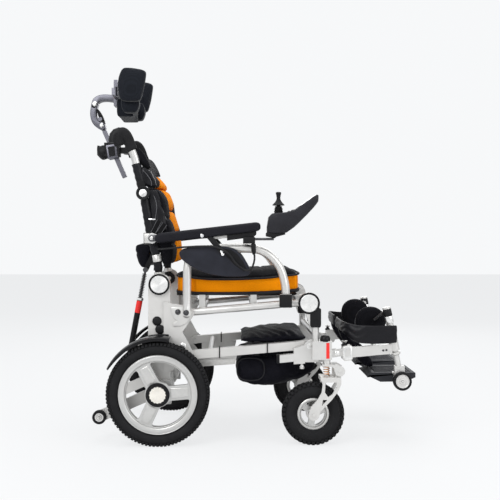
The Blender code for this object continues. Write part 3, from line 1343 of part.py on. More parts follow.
def arch_tube(name, side):
    y = side * ARCH_Y
    tube = pipe(smooth([(x, y, z) for x, z in ARCH_LINE], 2), ARCH_RADIUS)
    foot = pin(SEAT_REAR, (y - ARCH_RADIUS, y + ARCH_RADIUS), ARCH_RADIUS + 0.0005)
    solid("armrest_arch_" + name, "seat", "silver_metal", [tube, foot])


def side_guard(name, side):
    skin = plate(GUARD_OUTLINE, span(side, GUARD_IN, GUARD_OUT))
    solid("side_guard_" + name, "seat", "dark_plastic", [skin])


def arm_pad(name, side):
    rear, front = Vector(PAD_REAR), Vector(PAD_FRONT)
    drop = PAD_THICKNESS / 2
    pad_line = (tuple(rear + Vector((0.012, 0.0015))), tuple(front - Vector((0.010, 0))))
    steel_end = tuple(rear.lerp(front, 0.75) - Vector((0, drop * 0.6)))
    strut_top = tuple(rear.lerp(front, 0.52) - Vector((0.004, drop - 0.007)))
    plate_y = span(side, PAD_PLATE_IN - 0.001, PAD_PLATE_OUT + 0.001)
    solid(
        "arm_pad_" + name, "arm_" + name, "dark_plastic",
        [
            plate(bar_outline(*pad_line, PAD_THICKNESS), span(side, PAD_IN - 0.002, PAD_OUT)),
            plate(
                bar_outline(ARM_PIVOT, steel_end, PAD_PLATE_HEIGHT),
                span(side, PAD_PLATE_IN, PAD_PLATE_OUT),
            ),
            plate(
                bar_outline(strut_top, PAD_STRUT_FOOT, PAD_STRUT_HEIGHT),
                span(side, PAD_STRUT_IN, PAD_STRUT_OUT),
            ),
            pin(PAD_STRUT_BOLT, span(side, PAD_STRUT_OUT - 0.001, PAD_STRUT_OUT + 0.003), PAD_BOLT_RADIUS),
        ],
        [bore(ARM_PIVOT, plate_y, COLLAR_PIN_RADIUS)],
    )
    along = Vector(steel_end) - Vector(ARM_PIVOT)
    support_end = tuple(Vector(ARM_PIVOT) + along.normalized() * SUPPORT_REACH)
    solid(
        "arm_collar_" + name, "arm_collar_" + name, "silver_metal",
        [
            plate(bar_outline(ARM_PIVOT, support_end, SUPPORT_HEIGHT), span(side, SUPPORT_IN, COLLAR_OUT)),
            pin(ARM_PIVOT, span(side, COLLAR_IN, COLLAR_OUT), COLLAR_RADIUS, 12),
            pin(ARM_PIVOT, span(side, COLLAR_OUT - 0.001, PAD_PLATE_OUT + 0.001), COLLAR_PIN_RADIUS),
        ],
        [bore(ARM_PIVOT, span(side, COLLAR_IN - 0.001, COLLAR_OUT - COLLAR_WALL), COLLAR_PIN_RADIUS)],
    )


def controller():
    """The joystick box on its two bars, its gimbal ring, its stick and its button."""
    y = -POD_Y
    stick_x = STICK_X
    button_x, button_z = BUTTON_PLACE
    solid(
        "joystick_pod", "arm_right", "dark_plastic",
        [
            pod_shell(y),
            box(POD_BAR_X, (y - 0.012, y - 0.004), POD_BAR_Z),
            box(POD_BAR_X, (y + 0.004, y + 0.012), POD_BAR_Z),
            box(POD_FOOT_X, (y - 0.014, y + 0.014), POD_FOOT_Z),
            box(GLAND_X, (y - 0.0145, y + 0.012), GLAND_Z),
            *well_pins(y),
        ],
    )
    base = (stick_x, y, STICK_BOTTOM)
    pivot_z = STICK_PIVOT[1]
    solid(
        "joystick_gimbal", "stick_side", "grey_paint", [turned_up(base, GIMBAL_PROFILE, SMALL_STEPS)],
        [
            hole((stick_x - 0.02, y, pivot_z), (stick_x + 0.02, y, pivot_z), GIMBAL_PIN_RADIUS),
            bore(STICK_PIVOT, (y - 0.02, y + 0.02), GIMBAL_PIN_RADIUS),
        ],
    )
    cross_pin = pin(STICK_PIVOT, (y - 0.013, y + 0.013), GIMBAL_PIN_RADIUS)
    solid("joystick_knob", "stick", "dark_plastic", [turned_up(base, STICK_PROFILE, SMALL_STEPS), cross_pin])
    cap = box(
        (button_x - BUTTON_HALF, button_x + BUTTON_HALF), (y - BUTTON_HALF, y + BUTTON_HALF),
        (button_z - 0.0025, button_z + 0.0080),
    )
    solid("joystick_button", "button", "grey_paint", [cap])


def pod_shell(y):
    """The controller's box with the stick's round well and the button's square one."""
    button_x, stick_x = BUTTON_PLACE[0], STICK_X
    half = BUTTON_HALF + RUN
    shell = plate(POD_OUTLINE, (y - POD_HALF_WIDTH, y + POD_HALF_WIDTH))
    well = rod((stick_x, y, STICK_BOTTOM), (stick_x, y, 0.740), WELL_RADIUS, 16)
    socket = box((button_x - half, button_x + half), (y - half, y + half), (BUTTON_FLOOR, 0.760))
    boolean(shell, well, "DIFFERENCE")
    boolean(shell, socket, "DIFFERENCE")
    made = evaluated(shell)
    bpy.data.objects.remove(well, do_unlink=True)
    bpy.data.objects.remove(socket, do_unlink=True)
    return made


def well_pins(y):
    """The two pins along X on which the gimbal ring tips."""
    x, z = STICK_PIVOT
    far, near = WELL_RADIUS + 0.002, 0.011
    return [rod((x + sign * far, y, z), (x + sign * near, y, z), GIMBAL_PIN_RADIUS) for sign in (-1, 1)]


def turned_up(place, profile, steps):
    """A solid turned about an upright axis. The profile holds (radius, height above place)."""
    made = turned((0, 0), 0, profile, steps)
    made.data.transform(Matrix.Rotation(math.pi / 2, 4, "X"))
    made.data.transform(Matrix.Translation(place))
    return made


def joystick_cable():
    cable = pipe(smooth(CABLE_ROUTE, 2), CABLE_RADIUS, 1)
    solid("joystick_cable", "arm_right", "tyre_rubber", [cable])


def main():
    global PARTS, GUIDES
    clear_scene()
    PARTS = new_collection("folding_power_wheelchair")
    GUIDES = new_collection("guides")
    make_materials()
    make_bodies()
    rear_frame()
    lower_frame()
    bags()
    front_frame()
    seat_frame()
    seat_cushion()
    back_frame()
    back_cushions()
    back_pouch()
    upper_back_frame()
    headrest()
    strut()
    controller()
    joystick_cable()
    for name, side in SIDES.items():
        fender(name, side)
        motor(name, side)
        rear_wheel(name, side)
        tip_wheel(name, side)
        caster_head(name, side)
        caster_fork(name, side)
        caster_wheel(name, side)
        caster_spring(name, side)
        legrest(name, side)
        leg_wheel(name, side)
        footplate(name, side)
        calf_pad(name, side)
        arch_tube(name, side)
        side_guard(name, side)
        arm_pad(name, side)


main()
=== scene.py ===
"""Folding power wheelchair: the looks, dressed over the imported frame."""
import math

import bmesh
import bpy
from mathutils import Matrix, Vector


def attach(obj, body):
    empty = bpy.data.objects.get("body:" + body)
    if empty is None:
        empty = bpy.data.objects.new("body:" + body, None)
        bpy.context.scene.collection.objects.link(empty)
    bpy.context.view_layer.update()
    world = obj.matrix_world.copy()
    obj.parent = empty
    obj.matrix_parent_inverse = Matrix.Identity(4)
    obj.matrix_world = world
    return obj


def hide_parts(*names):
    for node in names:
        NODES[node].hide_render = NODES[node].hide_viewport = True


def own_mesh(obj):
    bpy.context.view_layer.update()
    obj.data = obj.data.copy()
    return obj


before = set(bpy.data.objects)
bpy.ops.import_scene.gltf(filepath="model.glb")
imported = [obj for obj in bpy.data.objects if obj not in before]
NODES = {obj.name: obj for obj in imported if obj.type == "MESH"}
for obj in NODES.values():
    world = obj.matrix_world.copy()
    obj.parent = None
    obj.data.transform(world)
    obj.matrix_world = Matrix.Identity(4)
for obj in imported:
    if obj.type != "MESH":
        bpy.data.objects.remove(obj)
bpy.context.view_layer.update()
SIDES = {"right": -1, "left": 1}
PAINT = {}

# The camera of the photograph: it looks along +Y at the chair's right side
CAMERA_PLACE = (-0.0477, -2.888, 0.641)
CAMERA_LENS = 60.8
CAMERA_SHIFT = (0.0348, -0.024)

# Places shared with the frame, in the side plane (X, Z)
REAR_AXLE = (-0.278, 0.159)
WHEEL_Y = 0.2745
CASTER_AXLE = (0.202, 0.096)
CASTER_Y = 0.258
RECLINE_PIVOT = (-0.279, 0.495)
SEAT_PIVOT = (0.19, 0.438)
CANE_Y = 0.19
CANE_LINE = [
    (-0.281, 0.494), (-0.2887, 0.581), (-0.3065, 0.641), (-0.331, 0.783), (-0.3603, 0.898), (-0.376, 0.94),
]


# Finishes
def feed(tree, socket, value):
    """A constant, or a link from another node's output, on a socket."""
    if isinstance(value, bpy.types.NodeSocket):
        tree.links.new(value, socket)
    else:
        socket.default_value = value


def add_node(tree, kind, **inputs):
    node = tree.nodes.new("ShaderNode" + kind)
    for name, value in inputs.items():
        feed(tree, node.inputs[name.replace("_", " ")], value)
    return node


def maths(tree, operation, first, second):
    node = add_node(tree, "Math")
    node.operation = operation
    feed(tree, node.inputs[0], first)
    feed(tree, node.inputs[1], second)
    return node.outputs["Value"]


class Finish:
    """A material whose nodes read object coordinates."""

    def __init__(self, name, colour, roughness, **sockets):
        self.made = bpy.data.materials.new(name)
        self.made.use_nodes = True
        self.tree = self.made.node_tree
        self.shader = self.tree.nodes["Principled BSDF"]
        self.colour = (*colour, 1)
        sockets = {"Base Color": self.colour, "Roughness": roughness, **sockets}
        for socket, value in sockets.items():
            self.shader.inputs[socket.replace("_", " ")].default_value = value
        self.place = self.node("TexCoord").outputs["Object"]
        self.last_normal = None
        PAINT[name] = self.made

    def node(self, kind, **inputs):
        return add_node(self.tree, kind, **inputs)

    def mapped(self, **how):
        return self.node("Mapping", Vector=self.place, **how).outputs["Vector"]

    def noise(self, scale, detail, where=None):
        return self.node("TexNoise", Scale=scale, Detail=detail, Vector=where or self.place).outputs["Fac"]

    def cells(self, scale):
        return self.node("TexVoronoi", Scale=scale, Vector=self.place).outputs["Distance"]

    def bands(self, scale, direction, distortion=0.4):
        node = self.node("TexWave", Scale=scale, Distortion=distortion, Vector=self.place)
        node.bands_direction = direction
        return node.outputs["Fac"]

    def rings(self, scale, where):
        node = self.node("TexWave", Scale=scale, Vector=where)
        node.wave_type = "RINGS"
        node.rings_direction = "Y"
        return node.outputs["Fac"]

    def maths(self, operation, first, second):
        return maths(self.tree, operation, first, second)

    def ramp(self, factor, stops):
        """The factor turned into colours: stops holds (place, colour)."""
        node = self.node("ValToRGB", Fac=factor)
        steps = node.color_ramp.elements
        while len(steps) < len(stops):
            steps.new(0.5)
        for step, (place, colour) in zip(steps, stops):
            step.position = place
            step.color = (*colour, 1)
        return node.outputs["Color"]

    def paint(self, factor, stops):
        feed(self.tree, self.shader.inputs["Base Color"], self.ramp(factor, stops))

    def rough(self, factor, low, high):
        spread = self.node("MapRange", To_Min=low, To_Max=high, Value=factor)
        feed(self.tree, self.shader.inputs["Roughness"], spread.outputs["Result"])

    def bump(self, height, depth, strength):
        node = self.node("Bump", Distance=depth, Strength=strength, Height=height)
        if self.last_normal:
            feed(self.tree, node.inputs["Normal"], self.last_normal)
        self.last_normal = node.outputs["Normal"]
        feed(self.tree, self.shader.inputs["Normal"], self.last_normal)

    def worn(self, factor, colour):
        """Where edges stand proud, the colour under the finish shows through a noise."""
        proud = self.node("NewGeometry").outputs["Pointiness"]
        edge = self.ramp(proud, [(0.52, (0, 0, 0)), (0.56, (1, 1, 1))])
        mix = self.node("Mix")
        mix.data_type = "RGBA"
        base = self.shader.inputs["Base Color"]
        under = base.links[0].from_socket if base.is_linked else self.colour
        for socket, value in (
            ("Factor", self.maths("MULTIPLY", edge, factor)), ("A", under), ("B", (*colour, 1)),
        ):
            feed(self.tree, mix.inputs[socket], value)
        feed(self.tree, base, mix.outputs["Result"])


def shade(colour, factor):
    return tuple(min(1.0, part * factor) for part in colour)


def painted(name, colour, roughness, metallic=0.0, coat=0.0, wear=(0.62, 0.61, 0.59)):
    """Sprayed or powder-coated metal: fine peel, faint blotches, and worn edges."""
    made = Finish(name, colour, roughness, Metallic=metallic, Coat_Weight=coat, Coat_Roughness=0.15)
    blotch = made.noise(9, 3)
    made.paint(blotch, [(0.35, shade(colour, 0.94)), (0.65, shade(colour, 1.04))])
    made.rough(made.noise(60, 2), roughness - 0.06, roughness + 0.08)
    made.bump(made.noise(900, 2), 0.00012, 0.5)
    made.worn(made.noise(140, 4), wear)
    return made


def moulded(name, colour, roughness, grain=1400, depth=0.00012):
    """Moulded plastic with a fine leathery grain."""
    made = Finish(name, colour, roughness, Specular_IOR_Level=0.15)
    made.paint(made.noise(26, 3), [(0.3, shade(colour, 0.85)), (0.7, shade(colour, 1.2))])
    made.rough(made.noise(220, 2), roughness - 0.05, roughness + 0.08)
    made.bump(made.cells(grain), depth, 0.6)
    return made


def woven(name, colour, dark, thread=0.0016, roughness=0.85, sheen=0.25):
    """Woven or meshed cloth: two crossed threads on each face direction, dark between them."""
    made = Finish(name, colour, roughness, Sheen_Weight=sheen, Sheen_Roughness=0.5, Specular_IOR_Level=0.06)
    scale = 1 / (thread * 6.2832) * 2
    crossed = made.maths("MULTIPLY", made.bands(scale, "X"), made.bands(scale, "Z"))
    deep = made.maths("MULTIPLY", made.bands(scale, "Y"), made.bands(scale * 1.02, "DIAGONAL", 0))
    weave = made.maths("MAXIMUM", crossed, deep)
    cloud = made.noise(14, 4)
    both = made.maths("MULTIPLY", weave, made.maths("ADD", cloud, 0.55))
    made.paint(both, [(0.0, dark), (0.25, shade(colour, 0.86)), (0.9, shade(colour, 1.08))])
    made.bump(weave, 0.0004, 0.5)
    made.bump(made.noise(45, 3), 0.0015, 0.35)
    return made


def bare_metal(name, colour, roughness, stretch=(1, 1, 1), depth=0.00004):
    """Bare or anodised metal with a drawn grain."""
    made = Finish(name, colour, roughness, Metallic=1.0)
    grain = made.noise(260, 4, made.mapped(Scale=stretch))
    made.paint(made.noise(12, 3), [(0.3, shade(colour, 0.93)), (0.7, shade(colour, 1.04))])
    made.rough(grain, roughness - 0.07, roughness + 0.1)
    made.bump(grain, depth, 0.4)
    made.worn(made.noise(150, 3), shade(colour, 1.2))
    return made


def make_finishes():
    painted("silver_tube", (0.63, 0.625, 0.61), 0.3, metallic=0.6, coat=0.15)
    painted("cream_enamel", (0.6, 0.592, 0.575), 0.36, metallic=0.2, coat=0.25)
    painted("rim_enamel", (0.52, 0.52, 0.51), 0.3, metallic=0.65, coat=0.2)
    painted("gearbox_grey", (0.42, 0.42, 0.41), 0.4, metallic=0.6)
    painted("graphite_enamel", (0.085, 0.085, 0.092), 0.35, metallic=0.35, wear=(0.2, 0.2, 0.2))
    painted("signal_red", (0.8, 0.004, 0.004), 0.55, wear=(0.75, 0.03, 0.02))
    moulded("moulded_black", (0.009, 0.009, 0.01), 0.46)
    moulded("glossy_black", (0.008, 0.008, 0.009), 0.22, grain=2400, depth=0.00003)
    moulded("controller_grey", (0.02, 0.02, 0.024), 0.38)
    moulded("grip_foam", (0.012, 0.012, 0.013), 0.8, grain=600, depth=0.0004)
    moulded("pad_skin", (0.006, 0.006, 0.009), 0.58, grain=480, depth=0.0003)
    moulded("foot_plastic", (0.024, 0.025, 0.029), 0.55, grain=900)
    moulded("tyre_black", (0.011, 0.011, 0.012), 0.72, grain=700, depth=0.0002)
    moulded("cable_black", (0.016, 0.016, 0.017), 0.5)
    moulded("piping_black", (0.016, 0.016, 0.018), 0.7, grain=900)
    woven("orange_mesh", (1.0, 0.3, 0.002), (0.52, 0.12, 0.001), thread=0.0022, sheen=0.0)
    woven("black_mesh", (0.007, 0.007, 0.009), (0.002, 0.002, 0.003), thread=0.002, sheen=0.03)
    woven("bag_cloth", (0.006, 0.006, 0.01), (0.002, 0.002, 0.003), thread=0.0012, roughness=0.6, sheen=0.03)
    woven("head_cloth", (0.01, 0.012, 0.017), (0.003, 0.004, 0.006), thread=0.001, roughness=0.8, sheen=0.18)
    woven("strap_web", (0.01, 0.01, 0.011), (0.002, 0.002, 0.003), thread=0.0014, sheen=0.08)
    vinyl = moulded("side_vinyl", (0.009, 0.009, 0.011), 0.34, grain=1800, depth=0.00006)
    vinyl.bump(vinyl.noise(38, 3, vinyl.mapped(Scale=(1, 1, 0.45))), 0.004, 0.5)
    moulded("guard_satin", (0.018, 0.019, 0.026), 0.36, grain=1600, depth=0.00005)
    moulded("display_glass", (0.01, 0.011, 0.013), 0.1, grain=3000, depth=0.00001)
    woven("strap_grey", (0.13, 0.13, 0.14), (0.04, 0.04, 0.04), thread=0.0014, sheen=0.05)
    bare_metal("zinc_steel", (0.72, 0.72, 0.71), 0.28)
    bare_metal("chrome", (0.86, 0.86, 0.87), 0.1)
    bare_metal("anodised_grey", (0.13, 0.13, 0.15), 0.38, stretch=(4, 1, 1))
    bare_metal("copper_wire", (0.72, 0.4, 0.22), 0.28)
    bare_metal("dark_steel", (0.08, 0.08, 0.085), 0.36)


def spun_finish(name, centre, colour=(0.84, 0.84, 0.83)):
    """Metal turned on a lathe: rings about an axis along Y through the centre."""
    made = Finish(name, colour, 0.3, Metallic=1.0, Anisotropic=0.75)
    about = made.mapped(Location=(-centre[0], 0, -centre[1]))
    rings = made.rings(420, about)
    made.rough(rings, 0.24, 0.36)
    made.bump(rings, 0.00003, 0.4)
    tangent = made.node("Tangent")
    tangent.direction_type = "RADIAL"
    tangent.axis = "Y"
    feed(made.tree, made.shader.inputs["Tangent"], tangent.outputs["Tangent"])


# Modelling tools
def deselect():
    for obj in list(bpy.context.selected_objects):
        obj.select_set(False)


def alone(obj):
    deselect()
    obj.select_set(True)
    bpy.context.view_layer.objects.active = obj


def begin(name, add, **how):
    """A primitive added with nothing else selected."""
    deselect()
    add(**how)
    obj = bpy.context.object
    obj.name = obj.data.name = name
    return obj


def placed(obj):
    """The object's place goes into its mesh."""
    alone(obj)
    bpy.ops.object.transform_apply(location=True, rotation=True, scale=True)
    return obj


def editing(obj, *steps):
    """Runs edit-mode steps on the whole mesh of the object."""
    alone(obj)
    bpy.ops.object.mode_set(mode="EDIT")
    bpy.ops.mesh.select_all(action="SELECT")
    for step in steps:
        step()
    bpy.ops.object.mode_set(mode="OBJECT")
    return obj


def tidy_mesh():
    bpy.ops.mesh.remove_doubles(threshold=0.00001)
    bpy.ops.mesh.normals_make_consistent(inside=False)


def applied(obj, kind, **settings):
    """One modifier set up and applied."""
    alone(obj)
    modifier = obj.modifiers.new(kind.lower(), kind)
    for key, value in settings.items():
        setattr(modifier, key, value)
    bpy.ops.object.modifier_apply(modifier=modifier.name)
    return obj


def bevelled(obj, width, segments=2, angle=40):
    return applied(
        obj, "BEVEL", width=width, segments=segments, limit_method="ANGLE", angle_limit=math.radians(angle),
        miter_outer="MITER_ARC",
    )


def rounded(obj, levels=1):
    return applied(obj, "SUBSURF", levels=levels, render_levels=levels)


def smoothed(obj, angle=40):
    alone(obj)
    bpy.ops.object.shade_smooth_by_angle(angle=math.radians(angle))
    return obj


def cut(obj, *cutters):
    for cutter in cutters:
        applied(obj, "BOOLEAN", operation="DIFFERENCE", object=cutter, solver="EXACT")
        bpy.data.objects.remove(cutter, do_unlink=True)
    return obj


def joined(name, pieces):
    deselect()
    for piece in pieces:
        piece.select_set(True)
    bpy.context.view_layer.objects.active = pieces[0]
    bpy.ops.object.join()
    pieces[0].name = pieces[0].data.name = name
    return pieces[0]


def mirrored(obj, name):
    """The left copy of a right-hand piece, with a mesh of its own."""
    made = obj.copy()
    made.data = obj.data.copy()
    made.name = made.data.name = name
    bpy.context.scene.collection.objects.link(made)
    made.data.transform(Matrix.Scale(-1, 4, (0, 1, 0)))
    made.data.flip_normals()
    return made


def block(name, low, high, bevel=0.0, segments=2):
    low, high = Vector(low), Vector(high)
    obj = begin(name, bpy.ops.mesh.primitive_cube_add, size=1, location=(low + high) / 2)
    obj.scale = high - low
    placed(obj)
    return bevelled(obj, bevel, segments) if bevel else obj


def drum(name, start, end, radius, sides=24):
    start, end = Vector(start), Vector(end)
    along = end - start
    obj = begin(
        name, bpy.ops.mesh.primitive_cone_add, vertices=sides, radius1=radius, radius2=radius,
        depth=along.length, location=(start + end) / 2, rotation=along.to_track_quat("Z", "Y").to_euler(),
    )
    return placed(obj)


def pin(name, place, y, radius, sides=24):
    """A cylinder along Y at a side-plane place."""
    return drum(name, (place[0], y[0], place[1]), (place[0], y[1], place[1]), radius, sides)


def panel(name, outline, y, bevel=0.0, segments=2):
    """A side-plane outline as thick as the Y range."""
    obj = begin(name, bpy.ops.mesh.primitive_circle_add, vertices=len(outline), fill_type="NGON")
    for vert, (x, z) in zip(obj.data.vertices, outline):
        vert.co = (x, y[0], z)

    def thicken():
        bpy.ops.mesh.extrude_region_move(TRANSFORM_OT_translate={"value": (0, y[1] - y[0], 0)})
        bpy.ops.mesh.select_all(action="SELECT")
        tidy_mesh()

    editing(obj, thicken)
    return bevelled(obj, bevel, segments) if bevel else obj


def turned(name, profile, centre, steps=48, axis=(0, 1, 0)):
    """A closed profile of (radius, distance along the axis) spun about an axis through the centre."""
    obj = begin(name, bpy.ops.mesh.primitive_circle_add, vertices=len(profile), fill_type="NOTHING")
    axis, centre = Vector(axis), Vector(centre)
    across = Vector((1, 0, 0)) if abs(axis.x) < 0.9 else Vector((0, 0, 1))
    for vert, (radius, along) in zip(obj.data.vertices, profile):
        vert.co = centre + across * radius + axis * along

    def spin():
        bpy.ops.mesh.spin(steps=steps, angle=math.tau, center=centre, axis=axis)
        bpy.ops.mesh.select_all(action="SELECT")
        tidy_mesh()

    return editing(obj, spin)


def hose(name, points, radius, sides=12):
    """A round tube on a curve through the points."""
    obj = begin(name, bpy.ops.curve.primitive_bezier_curve_add)
    spline = obj.data.splines[0]
    spline.bezier_points.add(len(points) - 2)
    for knot, point in zip(spline.bezier_points, points):
        knot.co = point
        knot.handle_left_type = knot.handle_right_type = "AUTO"
    obj.location = (0, 0, 0)
    obj.data.bevel_depth = radius
    obj.data.bevel_resolution = max(sides // 2 - 2, 1)
    obj.data.resolution_u = 6
    obj.data.use_fill_caps = True
    bpy.ops.object.convert(target="MESH")
    obj = bpy.context.object
    editing(obj, tidy_mesh)
    return smoothed(obj, 50)


def lofted(name, rings):
    """A closed form through rings of the same number of points."""
    obj = begin(name, bpy.ops.mesh.primitive_circle_add, vertices=len(rings[0]), fill_type="NOTHING")
    work = bmesh.new()
    made = [[work.verts.new(point) for point in ring] for ring in rings]
    count = len(rings[0])
    for first, second in zip(made, made[1:]):
        for i in range(count):
            j = (i + 1) % count
            work.faces.new((first[i], first[j], second[j], second[i]))
    work.faces.new(made[0])
    work.faces.new(made[-1][::-1])
    bmesh.ops.recalc_face_normals(work, faces=work.faces)
    work.to_mesh(obj.data)
    work.free()
    return obj


def strap(name, points, width, thickness, across):
    """A flat strip through the points: its width lies along 'across'."""
    across = Vector(across).normalized()
    points = [Vector(point) for point in points]
    rings = []
    for i, point in enumerate(points):
        along = points[min(i + 1, len(points) - 1)] - points[max(i - 1, 0)]
        out = along.cross(across).normalized() * thickness / 2
        side = across * width / 2
        rings.append([point + a * side + b * out for a, b in ((-1, -1), (1, -1), (1, 1), (-1, 1))])
    return smoothed(bevelled(lofted(name, rings), thickness * 0.3, 2, 50), 50)


def arc(centre, radius, start, end, count):
    """Side-plane points on a circle, from one angle to another in degrees."""
    angles = [math.radians(start + (end - start) * i / (count - 1)) for i in range(count)]
    return [(centre[0] + radius * math.cos(a), centre[1] + radius * math.sin(a)) for a in angles]


def soft_line(points, per_run=6, closed=False):
    """Points of a smooth line through the given points, of any dimension."""
    points = [Vector(point) for point in points]
    count = len(points)
    runs = count if closed else count - 1
    out = []
    for i in range(runs):
        if closed:
            a, b, c, d = (points[(i + k) % count] for k in (-1, 0, 1, 2))
        else:
            b, c = points[i], points[i + 1]
            a = points[i - 1] if i else b * 2 - c
            d = points[i + 2] if i + 2 < count else c * 2 - b
        for step in range(per_run):
            t = step / per_run
            out.append(
                0.5 * (
                    2 * b + (c - a) * t + (2 * a - 5 * b + 4 * c - d) * t**2 + (3 * b - a - 3 * c + d) * t**3
                )
            )
    if not closed:
        out.append(points[-1])
    return out


def bar(start, end, height, ends=8):
    """The side-plane outline of a straight bar with round ends."""
    angle = math.degrees(math.atan2(end[1] - start[1], end[0] - start[0]))
    return arc(
        start, height / 2, angle + 90, angle + 270, ends,
    ) + arc(end, height / 2, angle - 90, angle + 90, ends)


def line_x(line, z):
    for (x0, z0), (x1, z1) in zip(line, line[1:]):
        if z <= z1:
            return x0 + (x1 - x0) * (z - z0) / (z1 - z0)
    return line[-1][0]


def cane_x(z):
    return line_x(CANE_LINE, z)


# The slot for each finish that isn't a bare or painted metal
SLOTS = {
    "cream_enamel": "cream_paint", "tyre_black": "tyre_rubber", "orange_mesh": "orange_fabric",
    "anodised_grey": "grey_anodised",
}
SLOTS |= dict.fromkeys(
    (
        "moulded_black", "glossy_black", "controller_grey", "grip_foam", "pad_skin", "foot_plastic",
        "guard_satin", "display_glass", "signal_red",
    ),
    "dark_plastic",
)
SLOTS |= dict.fromkeys(
    ("piping_black", "black_mesh", "bag_cloth", "head_cloth", "strap_web", "side_vinyl", "strap_grey"),
    "black_fabric",
)


def dressed(obj, body, finish, *replaced, slot=None, angle=40, smooth=True):
    """The piece gets its finish and its body, and stands for the nodes named; its slot is not used."""
    if smooth:
        smoothed(obj, angle)
    obj.data.materials.clear()
    obj.data.materials.append(PAINT[finish])
    return riding(obj, body, slot or SLOTS.get(finish, "silver_metal"), *replaced)


def riding(obj, body, slot, *replaced):
    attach(obj, body)
    if replaced:
        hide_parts(*replaced)
    return obj


def lathed(name, body, finish, place, profile, steps=24, angle=30):
    """A turned piece on both sides of the chair: profile holds (radius, distance from the middle plane)."""
    for side_name, side in SIDES.items():
        piece = turned(f"{name}_{side_name}", profile, (place[0], 0, place[1]), steps, axis=(0, side, 0))
        dressed(piece, body.format(side_name), finish, angle=angle)


def patch(name, body, finish, outline, inner, outer, bevel=0.0006, segments=2, angle=40):
    """A side-plane piece on both sides of the chair, between two distances from the middle plane."""
    for side_name, side in SIDES.items():
        piece = panel(f"{name}_{side_name}", outline, (side * inner, side * outer), bevel, segments)
        dressed(piece, body.format(side_name), finish, angle=angle)


def side_block(name, side, low, high, bevel=0.0, segments=2):
    """A block on one side, whose corners give distances from the middle plane."""
    near, far = sorted((side * low[1], side * high[1]))
    return block(name, (low[0], near, low[2]), (high[0], far, high[2]), bevel, segments)


def crate(name, body, finish, low, high, bevel, segments=2):
    """A block on both sides of the chair."""
    for side_name, side in SIDES.items():
        dressed(side_block(f"{name}_{side_name}", side, low, high, bevel, segments), body, finish)


# Nodes that stay
KEPT = {
    "rear_frame": ("cream_enamel", 0.0012), "lower_frame": ("cream_enamel", 0.0012),
    "front_frame": ("silver_tube", 0.001), "seat_frame": ("silver_tube", 0.0008),
    "motor": ("gearbox_grey", 0.001), "caster_head": ("silver_tube", 0.0006),
    "caster_fork": ("cream_enamel", 0.0009), "caster_spring": ("copper_wire", 0),
    "legrest": ("silver_tube", 0.0008), "armrest_arch": ("silver_tube", 0),
    "back_frame": ("moulded_black", 0.0006), "upper_back_frame": ("moulded_black", 0.0006),
    "arm_collar": ("zinc_steel", 0.0006), "headrest_stem": ("anodised_grey", 0.0007),
    "headrest_lower_link": ("anodised_grey", 0.0007), "headrest_upper_link": ("anodised_grey", 0.0007),
    "strut_body": ("glossy_black", 0.0008), "strut_rod": ("dark_steel", 0.0003),
    "joystick_gimbal": ("graphite_enamel", 0),
}


def kept_row(name):
    """The finish and edge width of a node that stays; one that is replaced shows neither."""
    return KEPT.get(name.removesuffix("_right").removesuffix("_left"), ("moulded_black", 0))


def dress_nodes():
    """The nodes that stay get soft edges and their finishes."""
    for name, obj in NODES.items():
        finish, edge = kept_row(name)
        for face in obj.data.polygons:
            face.use_smooth = True
        weld = obj.modifiers.new("weld", "WELD")
        weld.merge_threshold = 0.00002
        if edge:
            bevel = obj.modifiers.new("edges", "BEVEL")
            bevel.width = edge
            bevel.segments = 2
            bevel.limit_method = "ANGLE"
            bevel.angle_limit = math.radians(50)
        normals = obj.modifiers.new("normals", "WEIGHTED_NORMAL")
        normals.keep_sharp = False
        for slot in obj.material_slots:
            slot.material = PAINT[finish]


# Wheels
def tyre_section(radius, bead, half, crown=0.0035):
    """A rounded tyre section as (radius, distance along the axle)."""
    tread = radius - crown
    wall = tread - bead
    shape = [
        (0.0, 0.6), (0.1, 0.72), (0.13, 0.8), (0.3, 0.97), (0.5, 1.0), (0.72, 0.95), (0.88, 0.82),
        (0.97, 0.62), (1.0, 0.35),
    ]
    right = [(bead + wall * rise, half * reach) for rise, reach in shape]
    return right + [(r, -a) for r, a in right[::-1]]


def tread(name, centre, radius, half, count, rows, height):
    """Blocks round the tyre: rows holds (middle, half width, half length, phase, tilt) shares."""
    lug = begin(name, bpy.ops.mesh.primitive_cube_add, size=2)

    def taper():
        bpy.ops.mesh.bevel(offset=0.16, segments=1, affect="EDGES")

    editing(lug, taper)
    work = bmesh.new()
    form = bmesh.new()
    form.from_mesh(lug.data)
    pitch = math.tau * radius / count
    for middle, wide, long, phase, tilt in rows:
        low = radius - height
        for i in range(count):
            angle = math.tau * (i + phase) / count
            turn = Matrix.Rotation(angle, 4, "Y")
            place = Matrix.Translation((0, half * middle, low + height / 2 - abs(middle) ** 3 * height * 1.1))
            lean = Matrix.Rotation(-math.copysign(tilt, middle) if middle else 0, 4, "X")
            size = Matrix.Diagonal((pitch * long, half * wide, height / 2 + 0.001, 1))
            move = Matrix.Translation(centre) @ turn @ place @ lean @ size
            made = {vert: work.verts.new(move @ vert.co) for vert in form.verts}
            for face in form.faces:
                work.faces.new([made[vert] for vert in face.verts])
    work.to_mesh(lug.data)
    work.free()
    form.free()
    return lug


